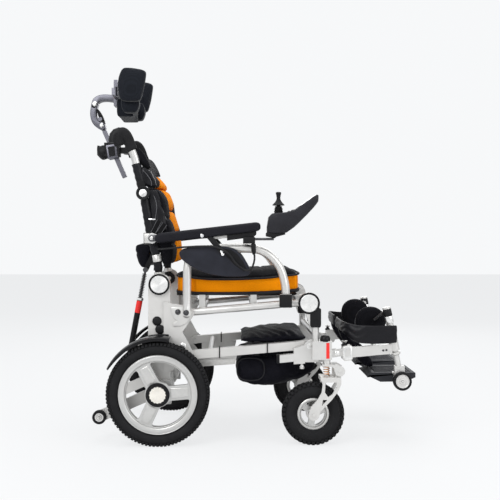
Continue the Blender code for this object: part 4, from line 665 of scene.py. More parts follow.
def spoked_web(name, centre, y, hub, ring, angles, spoke_half, thickness):
    """A disc with three windows between its spokes, which widen towards hub and ring."""
    web = pin(name, (centre[0], centre[2]), (y, y + thickness), ring + 0.002, 72)
    gaps = sorted(angles)
    for first, second in zip(gaps, [*gaps[1:], gaps[0] + 360]):
        outline = []
        outer = math.degrees(math.asin(spoke_half / ring))
        inner_radius = hub + 0.006
        inner = math.degrees(math.asin(min(spoke_half * 1.04 / inner_radius, 0.95)))
        outline += arc((centre[0], centre[2]), ring - 0.003, first + outer + 1, second - outer - 1, 15)
        reach = max(second - inner - (first + inner), 6)
        mid = (first + second) / 2
        outline += arc((centre[0], centre[2]), inner_radius, mid + reach / 2, mid - reach / 2, 7)
        window = panel("window", outline, (y - 0.02, y + thickness + 0.02))
        corners(window, 0.007)
        cut(web, window)
    return bevelled(web, 0.0016, 2, 50)


def corners(obj, width):
    """Rounds the upright edges of a side-plane panel, those that run along Y."""
    def choose():
        bpy.ops.mesh.select_all(action="DESELECT")
        bpy.ops.mesh.select_mode(type="EDGE")
        work = bmesh.from_edit_mesh(obj.data)
        for edge in work.edges:
            along = (edge.verts[0].co - edge.verts[1].co).normalized()
            edge.select = abs(along.y) > 0.95 and edge.calc_face_angle(0) > math.radians(35)
        bmesh.update_edit_mesh(obj.data)
        bpy.ops.mesh.bevel(offset=width, segments=4, affect="EDGES")
        bpy.ops.mesh.select_mode(type="VERT")

    editing(obj, choose)
    return obj


def both_wheels(piece, body, finish, *replaced, slot=None, angle=40):
    """The piece, made on the right, and its mirrored copy; {} in a name stands for the side."""
    smoothed(piece, angle)
    name = piece.name
    for side_name in SIDES:
        full = f"{name}_{side_name}"
        obj = piece if side_name == "right" else mirrored(piece, full)
        obj.name = obj.data.name = full
        nodes = [node.format(side_name) for node in replaced]
        dressed(obj, body.format(side_name), finish, *nodes, slot=slot, smooth=False)


SPOKE_ANGLES = (5, 118, 245)


REAR_CENTRE = (REAR_AXLE[0], -WHEEL_Y, REAR_AXLE[1])


def rear_tyres():
    half = 0.0285
    carcass = turned("carcass", tyre_section(0.159, 0.1222, half - 0.0004), REAR_CENTRE, 96)
    rows = [
        (0.8, 0.17, 0.33, 0.0, 0.85), (0.4, 0.15, 0.36, 0.5, 0.25), (0.0, 0.17, 0.4, 0.0, 0),
        (-0.4, 0.15, 0.36, 0.5, 0.25), (-0.8, 0.17, 0.33, 0.0, 0.85),
    ]
    blocks = tread("blocks", REAR_CENTRE, 0.1588, half, 84, rows, 0.0036)
    tyre = joined("rear_tyre_dress", [carcass, blocks])
    both_wheels(tyre, "rear_wheel_{}", "tyre_black", "rear_tyre_{}", angle=35)


def rear_rims():
    ring = [
        (0.1035, -0.0205), (0.106, -0.0222), (0.118, -0.0222), (0.1195, -0.0215), (0.1215, -0.0222),
        (0.1222, -0.0205), (0.1222, 0.0205), (0.12, 0.0215), (0.106, 0.02), (0.1035, 0.018), (0.101, 0.01),
        (0.101, -0.009), (0.1022, -0.0165),
    ]
    rim = turned("rear_rim_ring", ring, REAR_CENTRE, 96)
    web = spoked_web(
        "rear_rim_web", REAR_CENTRE, REAR_CENTRE[1] - 0.0165, 0.034, 0.1025, SPOKE_ANGLES, 0.0215, 0.018,
    )
    faces = []
    for angle in SPOKE_ANGLES:
        raised = [(0.04, -0.0165), (0.094, -0.014), (0.094, 0.014), (0.04, 0.0165)]
        turn = math.radians(angle)
        outline = [
            (
                REAR_AXLE[0] + r * math.cos(turn) - a * math.sin(turn),
                REAR_AXLE[1] + r * math.sin(turn) + a * math.cos(turn),
            )
            for r, a in raised
        ]
        faces.append(
            panel("spoke_face", outline, (REAR_CENTRE[1] - 0.0192, REAR_CENTRE[1] - 0.01), 0.0022, 3)
        )
    hub = turned(
        "rear_hub", [(0.009, -0.02), (0.0345, -0.02), (0.0365, -0.016), (0.0365, 0.02), (0.009, 0.024)],
        REAR_CENTRE, 64,
    )
    rim = joined("rear_rim_dress", [rim, web, hub, *faces])
    both_wheels(rim, "rear_wheel_{}", "rim_enamel", "rear_rim_{}")


def rear_hubs():
    collar = turned(
        "hub_ring",
        [(0.024, -0.0215), (0.0355, -0.0215), (0.0372, -0.0235), (0.036, -0.0262), (0.025, -0.0262)],
        REAR_CENTRE, 64,
    )
    teeth = []
    for i in range(18):
        turn = math.tau * i / 18
        x, z = REAR_AXLE[0] + 0.0333 * math.cos(turn), REAR_AXLE[1] + 0.0333 * math.sin(turn)
        teeth.append(pin("tooth", (x, z), (REAR_CENTRE[1] - 0.0277, REAR_CENTRE[1] - 0.024), 0.0026, 10))
    black = joined("hub_ring_dress", [collar, *teeth])
    both_wheels(black, "rear_wheel_{}", "moulded_black")

    lobes = [
        (REAR_AXLE[0] + r * math.cos(a), REAR_AXLE[1] + r * math.sin(a))
        for a, r in (
            (math.tau * i / 96, 0.0248 + 0.0012 * math.cos(16 * math.tau * i / 96))
            for i in range(96)
        )
    ]
    cap = panel("hub_cap_edge", lobes, (REAR_CENTRE[1] - 0.0272, REAR_CENTRE[1] - 0.022))
    dome = turned(
        "hub_cap_dome",
        [(0, -0.0284), (0.012, -0.0283), (0.019, -0.0278), (0.0222, -0.0268), (0.0222, -0.024), (0, -0.024)],
        REAR_CENTRE, 64,
    )
    spun_finish("spun_hub", REAR_AXLE, (0.86, 0.83, 0.76))
    both_wheels(joined("hub_cap_dress", [cap, dome]), "rear_wheel_{}", "spun_hub", slot="cream_paint")


def caster_wheels():
    centre = (CASTER_AXLE[0], -CASTER_Y, CASTER_AXLE[1])
    half = 0.024
    carcass = turned("carcass", tyre_section(0.096, 0.0492, half - 0.0003, 0.0045), centre, 80)
    rows = [
        (0.8, 0.19, 0.3, 0.0, 0.85), (0.36, 0.17, 0.34, 0.5, 0.2), (-0.36, 0.17, 0.34, 0.5, 0.2),
        (-0.8, 0.19, 0.3, 0.0, 0.85),
    ]
    blocks = tread("blocks", centre, 0.0958, half, 40, rows, 0.0046)
    tyre = joined("caster_tyre_dress", [carcass, blocks])
    both_wheels(tyre, "caster_wheel_{}", "tyre_black", "caster_wheel_{}", angle=35)
    ring = [
        (0.0405, -0.013), (0.0425, -0.0158), (0.047, -0.0158), (0.0492, -0.014), (0.0492, 0.014),
        (0.047, 0.0158), (0.0425, 0.0158), (0.0405, 0.013), (0.039, 0.006), (0.039, -0.006),
    ]
    rim = turned("caster_rim_ring", ring, centre, 64)
    web = spoked_web("caster_rim_web", centre, centre[1] - 0.0095, 0.015, 0.04, (20, 140, 260), 0.0095, 0.019)
    hub = turned(
        "caster_hub", [
            (0.0066, -0.0225), (0.0125, -0.0225), (0.016, -0.018), (0.016, 0.018), (0.0125, 0.0225),
            (0.0066, 0.0225),
        ],
        centre, 40,
    )
    rim = joined("caster_rim_dress", [rim, web, hub])
    both_wheels(rim, "caster_wheel_{}", "rim_enamel")


def small_wheels():
    """The wheels on the leg rests and behind the rear wheels."""
    leg = (0.482, -0.2523, 0.194)
    tyre = [
        (0.0215, -0.008), (0.027, -0.0082), (0.0288, -0.006), (0.029, 0.0), (0.0288, 0.006), (0.027, 0.0082),
        (0.0215, 0.008), (0.0205, 0.004), (0.0205, -0.004),
    ]
    both_wheels(turned("leg_wheel_tyre", tyre, leg, 48), "leg_wheel_{}", "tyre_black", "legrest_wheel_{}")
    disc = [
        (0.0046, -0.0085), (0.0085, -0.0088), (0.0105, -0.0062), (0.018, -0.0056), (0.0205, -0.0076),
        (0.0216, -0.007), (0.0216, 0.007), (0.0105, 0.0062), (0.0046, 0.0075),
    ]
    both_wheels(turned("leg_wheel_disc", disc, leg, 48), "leg_wheel_{}", "cream_enamel")
    tip = (-0.469, -0.2183, 0.075)
    tyre = [
        (0.014, -0.0088), (0.019, -0.009), (0.0218, -0.0062), (0.022, 0.0), (0.0218, 0.0062), (0.019, 0.009),
        (0.014, 0.0088), (0.013, 0.004), (0.013, -0.004),
    ]
    both_wheels(turned("tip_wheel_tyre", tyre, tip, 40), "tip_wheel_{}", "tyre_black", "anti_tip_wheel_{}")
    disc = [
        (0.0046, -0.0085), (0.0075, -0.0086), (0.0095, -0.0066), (0.013, -0.0074), (0.0142, -0.007),
        (0.0142, 0.007), (0.0046, 0.0075),
    ]
    both_wheels(turned("tip_wheel_disc", disc, tip, 40), "tip_wheel_{}", "silver_tube")


# Seat cushion and padding
def cage(name, shape, cuts=7):
    """A cube cut into a grid and laid out by shape(along, across, through), each from -1 to 1."""
    obj = begin(name, bpy.ops.mesh.primitive_cube_add, size=2)
    editing(obj, lambda: bpy.ops.mesh.subdivide(number_cuts=cuts))
    for vert in obj.data.vertices:
        vert.co = shape(*vert.co)
    return editing(obj, tidy_mesh)


def stuffed(obj, swell, voxel=0.006, pressure=4.0, frames=20):
    """Fills the form like a cushion: cloth under pressure, where no point moves further than swell."""
    applied(obj, "REMESH", mode="VOXEL", voxel_size=voxel)
    scene = bpy.context.scene
    start = [vert.co.copy() for vert in obj.data.vertices]
    cloth = obj.modifiers.new("cloth", "CLOTH")
    cloth.settings.use_pressure = True
    cloth.settings.uniform_pressure_force = pressure
    cloth.settings.effector_weights.gravity = 0
    for frame_number in range(1, frames + 1):
        scene.frame_set(frame_number)
    alone(obj)
    bpy.ops.object.modifier_apply(modifier=cloth.name)
    scene.frame_set(1)
    for vert, first in zip(obj.data.vertices, start):
        move = vert.co - first
        if move.length > swell:
            vert.co = first + move.normalized() * swell
    rounded(obj, 1)
    return smoothed(obj, 180)


def kept_in(obj, low, high, side=1):
    """No point of the piece lies outside the two corners, which are mirrored for the right side."""
    for vert in obj.data.vertices:
        for axis, sign in enumerate((1, side, 1)):
            vert.co[axis] = sign * min(max(sign * vert.co[axis], low[axis]), high[axis])
    return obj


def ring_hose(name, points, radius, sides=8):
    """A closed round cord through the points."""
    line = soft_line(points, 3, closed=True)
    obj = begin(name, bpy.ops.curve.primitive_bezier_circle_add)
    spline = obj.data.splines[0]
    spline.bezier_points.add(len(line) - len(spline.bezier_points))
    for knot, point in zip(spline.bezier_points, line):
        knot.handle_left_type = knot.handle_right_type = "AUTO"
        knot.co = point
    obj.location = (0, 0, 0)
    obj.rotation_euler = (0, 0, 0)
    obj.data.bevel_depth = radius
    obj.data.bevel_resolution = max(sides // 2 - 2, 1)
    obj.data.resolution_u = 2
    bpy.ops.object.convert(target="MESH")
    obj = bpy.context.object
    editing(obj, tidy_mesh)
    return smoothed(obj, 60)


def share(value, power=2):
    return 1 - abs(value) ** power


def face_x(z):
    return line_x(FACE_LINE, z)


# The front of the back cushions, and the orange band of the seat cushion, in the side plane
FACE_LINE = [
    (-0.216, 0.556), (-0.219, 0.61), (-0.225, 0.663), (-0.2445, 0.727), (-0.2477, 0.762), (-0.2668, 0.813),
    (-0.3052, 0.861), (-0.3659, 0.932),
]
BAND_TOP = [
    (-0.24, 0.52), (-0.2, 0.516), (-0.12, 0.51), (-0.04, 0.509), (0.06, 0.514), (0.12, 0.521), (0.18, 0.528),
]
BAND_BOTTOM = [(-0.24, 0.4665), (-0.16, 0.464), (-0.08, 0.463), (0.04, 0.465), (0.11, 0.47), (0.18, 0.4765)]


def level(line, x):
    """The height of a line at x, straight between its points."""
    for (x0, z0), (x1, z1) in zip(line, line[1:]):
        if x <= x1:
            t = min(max((x - x0) / (x1 - x0), 0), 1)
            return z0 + (z1 - z0) * t
    return line[-1][1]


def seat_half(x):
    """The seat cushion's half width, drawn in at the rear where the back's hinges stand."""
    t = min(max((x + 0.184) / 0.016, 0), 1)
    return 0.1715 + (0.2015 - 0.1715) * t * t * (3 - 2 * t)


# Where the seat's black top is sewn down
VALLEYS = (-0.118, 0.05)


SEAT_REAR, SEAT_FRONT = -0.2325, 0.169


def seat_band():
    """The orange box band round the seat cushion."""
    def band(along, across, through):
        x = SEAT_REAR + (SEAT_FRONT - SEAT_REAR) * (along + 1) / 2
        half = seat_half(x) - 0.003
        corner = 0.012 * abs(across) ** 8 * abs(along) ** 8
        low, high = level(BAND_BOTTOM, x), level(BAND_TOP, x)
        return (x - math.copysign(corner, along), across * half, low + (high - low) * (through + 1) / 2)

    base = stuffed(cage("seat_band", band, 23), 0.0045, 0.0055, 5.0)
    kept_in(base, (-0.2358, -0.2045, 0.4622), (0.1718, 0.2045, 0.545))
    dressed(base, "seat", "orange_mesh", "seat_cushion", smooth=False)


def seat_top():
    """The crowned top of black mesh, sewn down in two valleys."""
    def crown(along, across, through):
        x = SEAT_REAR + 0.005 + (SEAT_FRONT - SEAT_REAR - 0.012) * (along + 1) / 2
        half = seat_half(x) - 0.008
        low = level(BAND_TOP, x) - 0.008
        rise = 0.017 + 0.011 * share(along, 4) * share(across, 4)
        edge = 0.006 * (abs(along) ** 12 + abs(across) ** 12)
        high = low + 0.008 + rise - edge - 0.003
        return (x, across * half, low + (high - low) * (through + 1) / 2)

    top = stuffed(cage("seat_top", crown, 23), 0.005, 0.0055, 5.0)
    for vert in top.data.vertices:
        if vert.co.z > level(BAND_TOP, vert.co.x) + 0.006:
            for valley in VALLEYS:
                far = (vert.co.x - valley) / 0.005
                vert.co.z -= 0.003 * math.exp(-far * far) * share(vert.co.y / 0.2, 8)
    kept_in(top, (-0.234, -0.202, 0.464), (0.17, 0.202, 0.5475))
    dressed(top, "seat", "black_mesh", smooth=False)


def seat_bindings():
    """Black binding on both edges of the band, and the board under the seat."""
    for name, line, radius, inset in (
        ("seat_binding_top", BAND_TOP, 0.0034, 0.001), ("seat_binding_bottom", BAND_BOTTOM, 0.0058, 0.0035),
    ):
        loop = []
        stations = [-0.216, -0.195, -0.18, -0.165, -0.12, -0.06, 0.0, 0.06, 0.11, 0.15]
        for x in stations:
            loop.append((x, -(seat_half(x) - inset), level(line, x)))
        for y in (-0.186, -0.12, 0.0, 0.12, 0.186):
            loop.append((SEAT_FRONT - inset - 0.006 * (abs(y) > 0.15), y, level(line, SEAT_FRONT)))
        for x in reversed(stations):
            loop.append((x, seat_half(x) - inset, level(line, x)))
        for y in (0.158, 0.08, 0.0, -0.08, -0.158):
            loop.append((SEAT_REAR + inset + 0.006 * (abs(y) > 0.15), y, level(line, SEAT_REAR)))
        piping = ring_hose(name, loop, radius)
        kept_in(piping, (-0.2358, -0.2045, 0.4605), (0.1718, 0.2045, 0.545))
        dressed(piping, "seat", "piping_black", smooth=False)

    dressed(block("seat_board", (-0.228, -0.16, 0.456), (0.16, 0.16, 0.4625), 0.002), "seat", "moulded_black")


# Back
BACK_HALF = 0.203
PANEL_HALF = 0.105


def back_shape(bottom, top, channels, setback=0.0):
    """The form of a back cushion between two heights: side wings, a hollow middle and sewn channels."""
    middle, half = (top + bottom) / 2, (top - bottom) / 2

    def place(along, across, through):
        z = middle + along * half
        rear = cane_x(z) + 0.0155
        front = max(face_x(z) - setback, rear + 0.01)
        front -= 0.014 * share(min(1, abs(across) / 0.62), 6) * min(1, (front - rear) / 0.05)
        for spot in channels:
            front -= 0.006 * math.exp(-(((along - spot) / 0.07) ** 2)) * share(across, 6)
        front = max(front - 0.008 * abs(along) ** 6 - 0.013 * abs(across) ** 3, rear + 0.004)
        return (rear + (front - rear) * (through + 1) / 2, across * (BACK_HALF - 0.003), z)

    return place


def cushion_back(name, bottom, top, channels, body, node):
    pad = stuffed(cage(name, back_shape(bottom, top, channels, 0.009), 19), 0.004, 0.006, 4.0)
    for vert in pad.data.vertices:
        along = (2 * vert.co.z - top - bottom) / (top - bottom)
        if vert.co.x > cane_x(vert.co.z) + 0.022:
            for spot in channels:
                vert.co.x -= 0.0035 * math.exp(-(((along - spot) / 0.03) ** 2))
    kept_in(pad, (-1, -0.2055, bottom - 0.001), (1, 0.2055, top + 0.001))
    return dressed(pad, body, "black_mesh", node, smooth=False)


def front_panel(bottom, top, thick, setback):
    """The orange front of the back between its black side rolls, crowned and pulled in at its ends."""
    middle, half = (top + bottom) / 2, (top - bottom) / 2

    def place(along, across, through):
        z = middle + along * half
        front = face_x(z) - setback
        front -= 0.009 * abs(across) ** 2.5 + 0.007 * abs(along) ** 6
        return (front - thick * (1 - through) / 2, across * PANEL_HALF, z)

    return place


def back_cushions():
    lower_low, lower_high, upper_low, upper_high = 0.5565, 0.799, 0.803, 0.903
    cushion_back("back_pad_lower", lower_low, lower_high, (-0.45, 0.22), "back", "back_cushion")
    cushion_back("back_pad_upper", upper_low, upper_high, (0.1,), "upper_back", "upper_back_cushion")
    for label, low, high, body, setback in (
        ("foot", 0.56, 0.656, "back", 0.007), ("waist", 0.66, 0.73, "back", 0.007),
        ("middle", 0.734, 0.7985, "back", 0.008), ("top", 0.8035, 0.845, "upper_back", 0.008),
    ):
        front = stuffed(
            cage(f"back_front_{label}", front_panel(low, high, 0.024, setback), 17), 0.0035, 0.005, 3.5,
        )
        kept_in(front, (-1, -PANEL_HALF - 0.003, low), (1, PANEL_HALF + 0.003, high))
        dressed(front, body, "orange_mesh", smooth=False)


SHOULDER_LINE = [
    (-0.364, 0.926), (-0.35, 0.93), (-0.3335, 0.917), (-0.318, 0.892), (-0.305, 0.864), (-0.311, 0.861),
    (-0.3335, 0.877), (-0.348, 0.89), (-0.356, 0.905),
]


def shoulder_pad():
    """The black roll over the top of the back, which ends in a lip in front."""
    form = panel("shoulder_pad", soft_line(SHOULDER_LINE, 3, closed=True), (-0.197, 0.197), 0.003, 2)
    form = stuffed(form, 0.004, 0.0055, 4.0)
    for vert in form.data.vertices:
        hollow = share(vert.co.y / 0.2, 4)
        vert.co.z -= 0.012 * hollow * max(0, (vert.co.z - 0.86) / 0.07)
        vert.co.x -= 0.014 * hollow * min(1, max(0, (vert.co.x + 0.345) / 0.03))
    kept_in(form, (-1, -0.2055, 0.856), (1, 0.2055, 0.9345))
    dressed(form, "upper_back", "black_mesh", smooth=False)


def side_panel(name, side, outline, body):
    """The upholstery's side between cane and cushion, with creases down it."""
    form = panel(name, outline, (side * 0.177, side * 0.1995), 0.002, 2)
    form = stuffed(form, 0.0035, 0.0045, 3.5)
    for vert in form.data.vertices:
        if abs(vert.co.y) > 0.19:
            ripple = math.sin(vert.co.z * 105 + 7 * math.sin(vert.co.x * 60 + vert.co.z * 21))
            vert.co.y += side * (0.0016 * ripple - 0.0006)
    kept_in(form, (-1, -0.2058, 0.5), (1, 0.2058, 0.93))
    dressed(form, body, "side_vinyl", smooth=False)


LOWER_SIDE = [
    (-0.306, 0.664), (-0.256, 0.664), (-0.258, 0.7), (-0.27, 0.74), (-0.278, 0.77), (-0.29, 0.796),
    (-0.315, 0.796), (-0.318, 0.782), (-0.316, 0.76), (-0.311, 0.72),
]
UPPER_SIDE = [
    (-0.324, 0.806), (-0.29, 0.806), (-0.294, 0.825), (-0.31, 0.856), (-0.33, 0.866), (-0.348, 0.856),
    (-0.342, 0.83),
]


# Label, body, heights, radius and setback of the black sleeves on the canes
CANE_SLEEVES = (
    ("lower", "back", (0.656, 0.69, 0.73, 0.764), 0.015, 0.0003),
    ("upper", "upper_back", (0.803, 0.83, 0.855, 0.8775), 0.015, 0.0003),
    ("foot", "back", (0.538, 0.548, 0.558, 0.566), 0.0142, 0),
    ("waist", "back", (0.591, 0.6, 0.612, 0.6225), 0.0146, 0),
)
SIDE_PIPINGS = (
    ("upper", "upper_back", [(-0.333, 0.856), (-0.318, 0.84), (-0.3068, 0.8212), (-0.3056, 0.807)]),
    (
        "lower", "back",
        [(-0.2985, 0.776), (-0.291, 0.756), (-0.289, 0.738), (-0.291, 0.718), (-0.2934, 0.7005)],
    ),
)
SIDE_WEBS = (("a", (-0.301, 0.656), (-0.28, 0.696)), ("b", (-0.283, 0.656), (-0.2625, 0.687)))


def cane_cover(side_name, side):
    """Black sleeves on the canes, and the piping and the edged webbing beside them."""
    for label, body, heights, radius, setback in CANE_SLEEVES:
        line = [(cane_x(z) - setback, side * CANE_Y, z) for z in heights]
        sleeve = hose(f"cane_sleeve_{label}_{side_name}", line, radius, 20)
        for vert in sleeve.data.vertices:
            vert.co.x += 0.0008 * math.sin(vert.co.z * 300)
        dressed(sleeve, body, "side_vinyl", angle=60)
    for label, body, line in SIDE_PIPINGS:
        cord = hose(f"side_piping_{label}_{side_name}", [(x, side * 0.2045, z) for x, z in line], 0.0011, 8)
        dressed(cord, body, "strap_grey", angle=60)
    for label, low, high in SIDE_WEBS:
        low, high = Vector(low), Vector(high)
        along = (high - low).normalized()
        across = Vector((along.y, -along.x)) * 0.0075
        outline = [low - across, low + across, high + across, high - across]
        web = panel(f"side_web_{label}_{side_name}", outline, (side * 0.204, side * 0.2056), 0.0006)
        dressed(web, "back", "strap_web")
        rims = []
        for edge in (-across, across):
            rims.append(
                hose("rim", [(p.x, side * 0.2058, p.y) for p in (low + edge, high + edge)], 0.0009, 6)
            )
        dressed(joined(f"side_web_edge_{label}_{side_name}", rims), "back", "strap_grey", angle=60)


HOOK_LINE = [
    (-0.3665, 0.9195), (-0.374, 0.937), (-0.38, 0.955), (-0.388, 0.97), (-0.399, 0.9785), (-0.4095, 0.9705),
    (-0.413, 0.954), (-0.408, 0.936),
]


def push_grip(side_name, side):
    """A thick foam sleeve bent over the end of the cane."""
    line = soft_line([(x, side * CANE_Y, z) for x, z in HOOK_LINE], 3)
    foam = hose(f"push_grip_{side_name}", line, 0.0172, 20)
    alone(foam)
    applied(foam, "REMESH", mode="VOXEL", voxel_size=0.003)
    applied(foam, "SMOOTH", factor=0.6, iterations=6)
    for vert in foam.data.vertices:
        vert.co.z = min(vert.co.z, 0.9955)
    smoothed(foam, 180)
    dressed(foam, "upper_back", "grip_foam", smooth=False)


def back_pouch():
    """A soft pouch behind the back, with a flap and piping."""
    def shape(along, across, through):
        z = 0.545 + 0.076 * (along + 1) / 2
        mid = -0.339 - 0.003 * along
        deep = (0.023 + 0.008 * along) * (0.78 + 0.22 * share(along, 4))
        x = mid + through * deep * (1 - 0.12 * abs(across) ** 6)
        return (x, across * 0.123, z)

    pouch = stuffed(cage("rear_pouch", shape, 15), 0.004, 0.006, 4.0)
    kept_in(pouch, (-0.38, -0.129, 0.5435), (-0.302, 0.129, 0.623))
    for vert in pouch.data.vertices:
        if vert.co.x < -0.35:
            vert.co.x += 0.0022 * math.exp(-(((vert.co.z - 0.592) / 0.004) ** 2))
    dressed(pouch, "back", "bag_cloth", "back_pouch", smooth=False)


# Headrest
def head_pad():
    """The low neck pad with its rolled edge, on the headrest's bracket."""
    def shape(along, across, through):
        y = across * 0.079
        z = 1.078 + along * 0.0295 - 0.003 * abs(across) ** 2
        rear = -0.4365 + 0.004 * across * across
        front = -0.383 + 0.012 * across * across
        x = rear + (front - rear) * (through + 1) / 2
        x -= 0.004 * abs(along) ** 6 * through
        return (x, y, z)

    pad = stuffed(cage("neck_pad", shape, 13), 0.0035, 0.004, 4.0)
    kept_in(pad, (-0.4375, -0.0822, 1.0455), (-0.379, 0.0822, 1.1105))
    dressed(pad, "headrest_head", "head_cloth", "headrest_pad", smooth=False)


WING_OUTLINE = [
    (-0.414, 1.185), (-0.408, 1.195), (-0.397, 1.199), (-0.37, 1.1965), (-0.344, 1.192), (-0.333, 1.186),
    (-0.331, 1.176), (-0.34, 1.128), (-0.347, 1.098), (-0.353, 1.09), (-0.365, 1.088), (-0.401, 1.0885),
    (-0.412, 1.093), (-0.419, 1.108), (-0.424, 1.14), (-0.42, 1.168),
]


def wing(side_name, side):
    """A padded side wing, fatter below, with a seam round its edge."""
    form = panel(
        f"head_wing_{side_name}", soft_line(WING_OUTLINE, 3, closed=True), (side * 0.107, side * 0.133), 0.01,
        4,
    )
    form = stuffed(form, 0.004, 0.0042, 4.5)
    centre = Vector((-0.378, 0, 1.144))
    for vert in form.data.vertices:
        off = vert.co.y - side * 0.12
        vert.co.y += 0.0035 * ((centre.z - vert.co.z) / 0.05) * (1 if off * side > 0 else -1) * side * 0.6
    kept_in(form, (-0.4345, 0.1, 1.087), (-0.3275, 0.1402, 1.2005), side)
    dressed(form, f"wing_{side_name}", "head_cloth", f"headrest_wing_{side_name}", smooth=False)


def inner_roll(side_name, side):
    """The roll that joins the neck pad to a wing in front."""
    def shape(along, across, through):
        z = 1.085 + along * 0.03
        y = side * (0.094 + across * 0.02)
        x = -0.385 + through * 0.03 * (1 - 0.35 * along * along)
        return (x, y - side * 0.004 * through * across * across, z)

    roll = stuffed(cage(f"head_roll_{side_name}", shape, 9), 0.004, 0.004, 4.5)
    dressed(roll, "headrest_head", "head_cloth", smooth=False)


LOWER_ARM = [(-0.491, 1.019), (-0.509, 1.03), (-0.519, 1.047), (-0.5215, 1.07), (-0.517, 1.097)]
CAM_LINE = [
    (-0.509, 1.081), (-0.5015, 1.075), (-0.4925, 1.061), (-0.4855, 1.045), (-0.4825, 1.033), (-0.4865, 1.031),
    (-0.4955, 1.039), (-0.503, 1.051), (-0.508, 1.066),
]
UPPER_ARM = [(-0.519, 1.09), (-0.513, 1.108), (-0.498, 1.117), (-0.475, 1.119), (-0.448, 1.115)]


def flat_arm(name, line, width, body):
    """A thick curved bar with round ends, which follows the line in the side plane."""
    path = soft_line([Vector((x, 0, z)) for x, z in line], 4)
    left, right = [], []
    for i, point in enumerate(path):
        ahead = (path[min(i + 1, len(path) - 1)] - path[max(i - 1, 0)]).normalized()
        off = Vector((-ahead.z, 0, ahead.x)) * width / 2
        left.append(point + off)
        right.append(point - off)
    first, last = (path[1] - path[0]).normalized(), (path[-1] - path[-2]).normalized()
    outline = left
    for middle, way, edge in ((path[-1], last, left[-1]), (path[0], -first, right[0])):
        for i in range(1, 6):
            turn = -math.pi * i / 6
            spoke = edge - middle
            outline.append(middle + spoke * math.cos(turn) + way * math.sin(-turn) * width / 2)
        if middle is path[-1]:
            outline += right[::-1]
    dressed(panel(name, [(p.x, p.z) for p in outline], (-0.0188, 0.0188), 0.003, 3), body, "anodised_grey")


def head_details():
    """The curved arms with silver pivots, the bracket's dot, the clamp's window and its round knob."""
    flat_arm("head_arm_low", LOWER_ARM, 0.0215, "headrest_link")
    flat_arm("head_arm_high", UPPER_ARM, 0.0215, "headrest_head")
    for label, place, body, radius in (
        ("low", (-0.493, 1.024), "headrest_stem", 0.0075),
        ("high", (-0.5165, 1.097), "headrest_link", 0.0085),
    ):
        lathed(
            f"link_cap_{label}", body, "zinc_steel", place,
            [(0, 0.0224), (radius * 0.6, 0.022), (radius, 0.0192), (radius, 0.0172), (0, 0.0172)], 32,
        )
    dressed(
        turned(
            "bracket_dot", [(0, 0.0016), (0.004, 0.0014), (0.0048, 0.0004), (0.0048, -0.002), (0, -0.002)],
            (-0.4464, -0.024, 1.1197), 24, axis=(0, -1, 0),
        ),
        "headrest_head", "signal_red", angle=30,
    )
    frame_ring = panel(
        "clamp_window", [(-0.471, 0.909), (-0.437, 0.915), (-0.443, 0.9605), (-0.4775, 0.955)],
        (-0.024, -0.012), 0.001,
    )
    opening = panel(
        "window", [(-0.466, 0.916), (-0.444, 0.92), (-0.4485, 0.953), (-0.471, 0.949)], (-0.03, -0.01),
    )
    cut(frame_ring, opening)
    other = mirrored(frame_ring, "clamp_window_left")
    for obj in (frame_ring, other):
        dressed(obj, "upper_back", "anodised_grey")
    rim = [
        (0, 0.0505), (0.018, 0.05), (0.024, 0.0475), (0.0262, 0.043), (0.0262, 0.031), (0.024, 0.024),
        (0.01, 0.02), (0, 0.02),
    ]
    axis = Vector((-0.93, 0, -0.36)).normalized()
    dressed(
        turned("clamp_knob", rim, Vector((-0.464, 0, 0.943)), 40, axis=axis), "upper_back", "moulded_black",
        angle=35,
    )
    leaf = soft_line(CAM_LINE, 2, closed=True)
    dressed(
        panel("cam_leaf", leaf, (-0.0112, 0.0112), 0.0022, 3), "headrest_lever", "glossy_black",
        "headrest_cam_lever",
    )


# Arm pads
def arm_pad(side_name, side):
    """A long moulded pad with rounded ends."""
    centre_y = 0.257
    outline = [
        (-0.287, 0.627), (-0.28, 0.6235), (0.027, 0.6605), (0.0365, 0.664), (0.0395, 0.67), (0.0385, 0.682),
        (0.0345, 0.688), (0.023, 0.689), (-0.278, 0.6545), (-0.2865, 0.65), (-0.289, 0.64),
    ]
    pad = panel(
        f"arm_rest_{side_name}", outline, (side * (centre_y - 0.027), side * (centre_y + 0.027)), 0.0055, 4,
    )
    pad = applied(pad, "REMESH", mode="VOXEL", voxel_size=0.0035)
    pad = applied(pad, "SMOOTH", factor=0.5, iterations=4)
    for vert in pad.data.vertices:
        across = (vert.co.y - side * centre_y) / 0.028
        vert.co.z += 0.0012 * share(across, 4)
    kept_in(pad, (-0.3137, 0.2285, 0.58), (0.041, 0.2862, 0.6915), side)
    smoothed(pad, 180)
    dressed(pad, f"arm_{side_name}", "pad_skin", f"arm_pad_{side_name}", smooth=False)


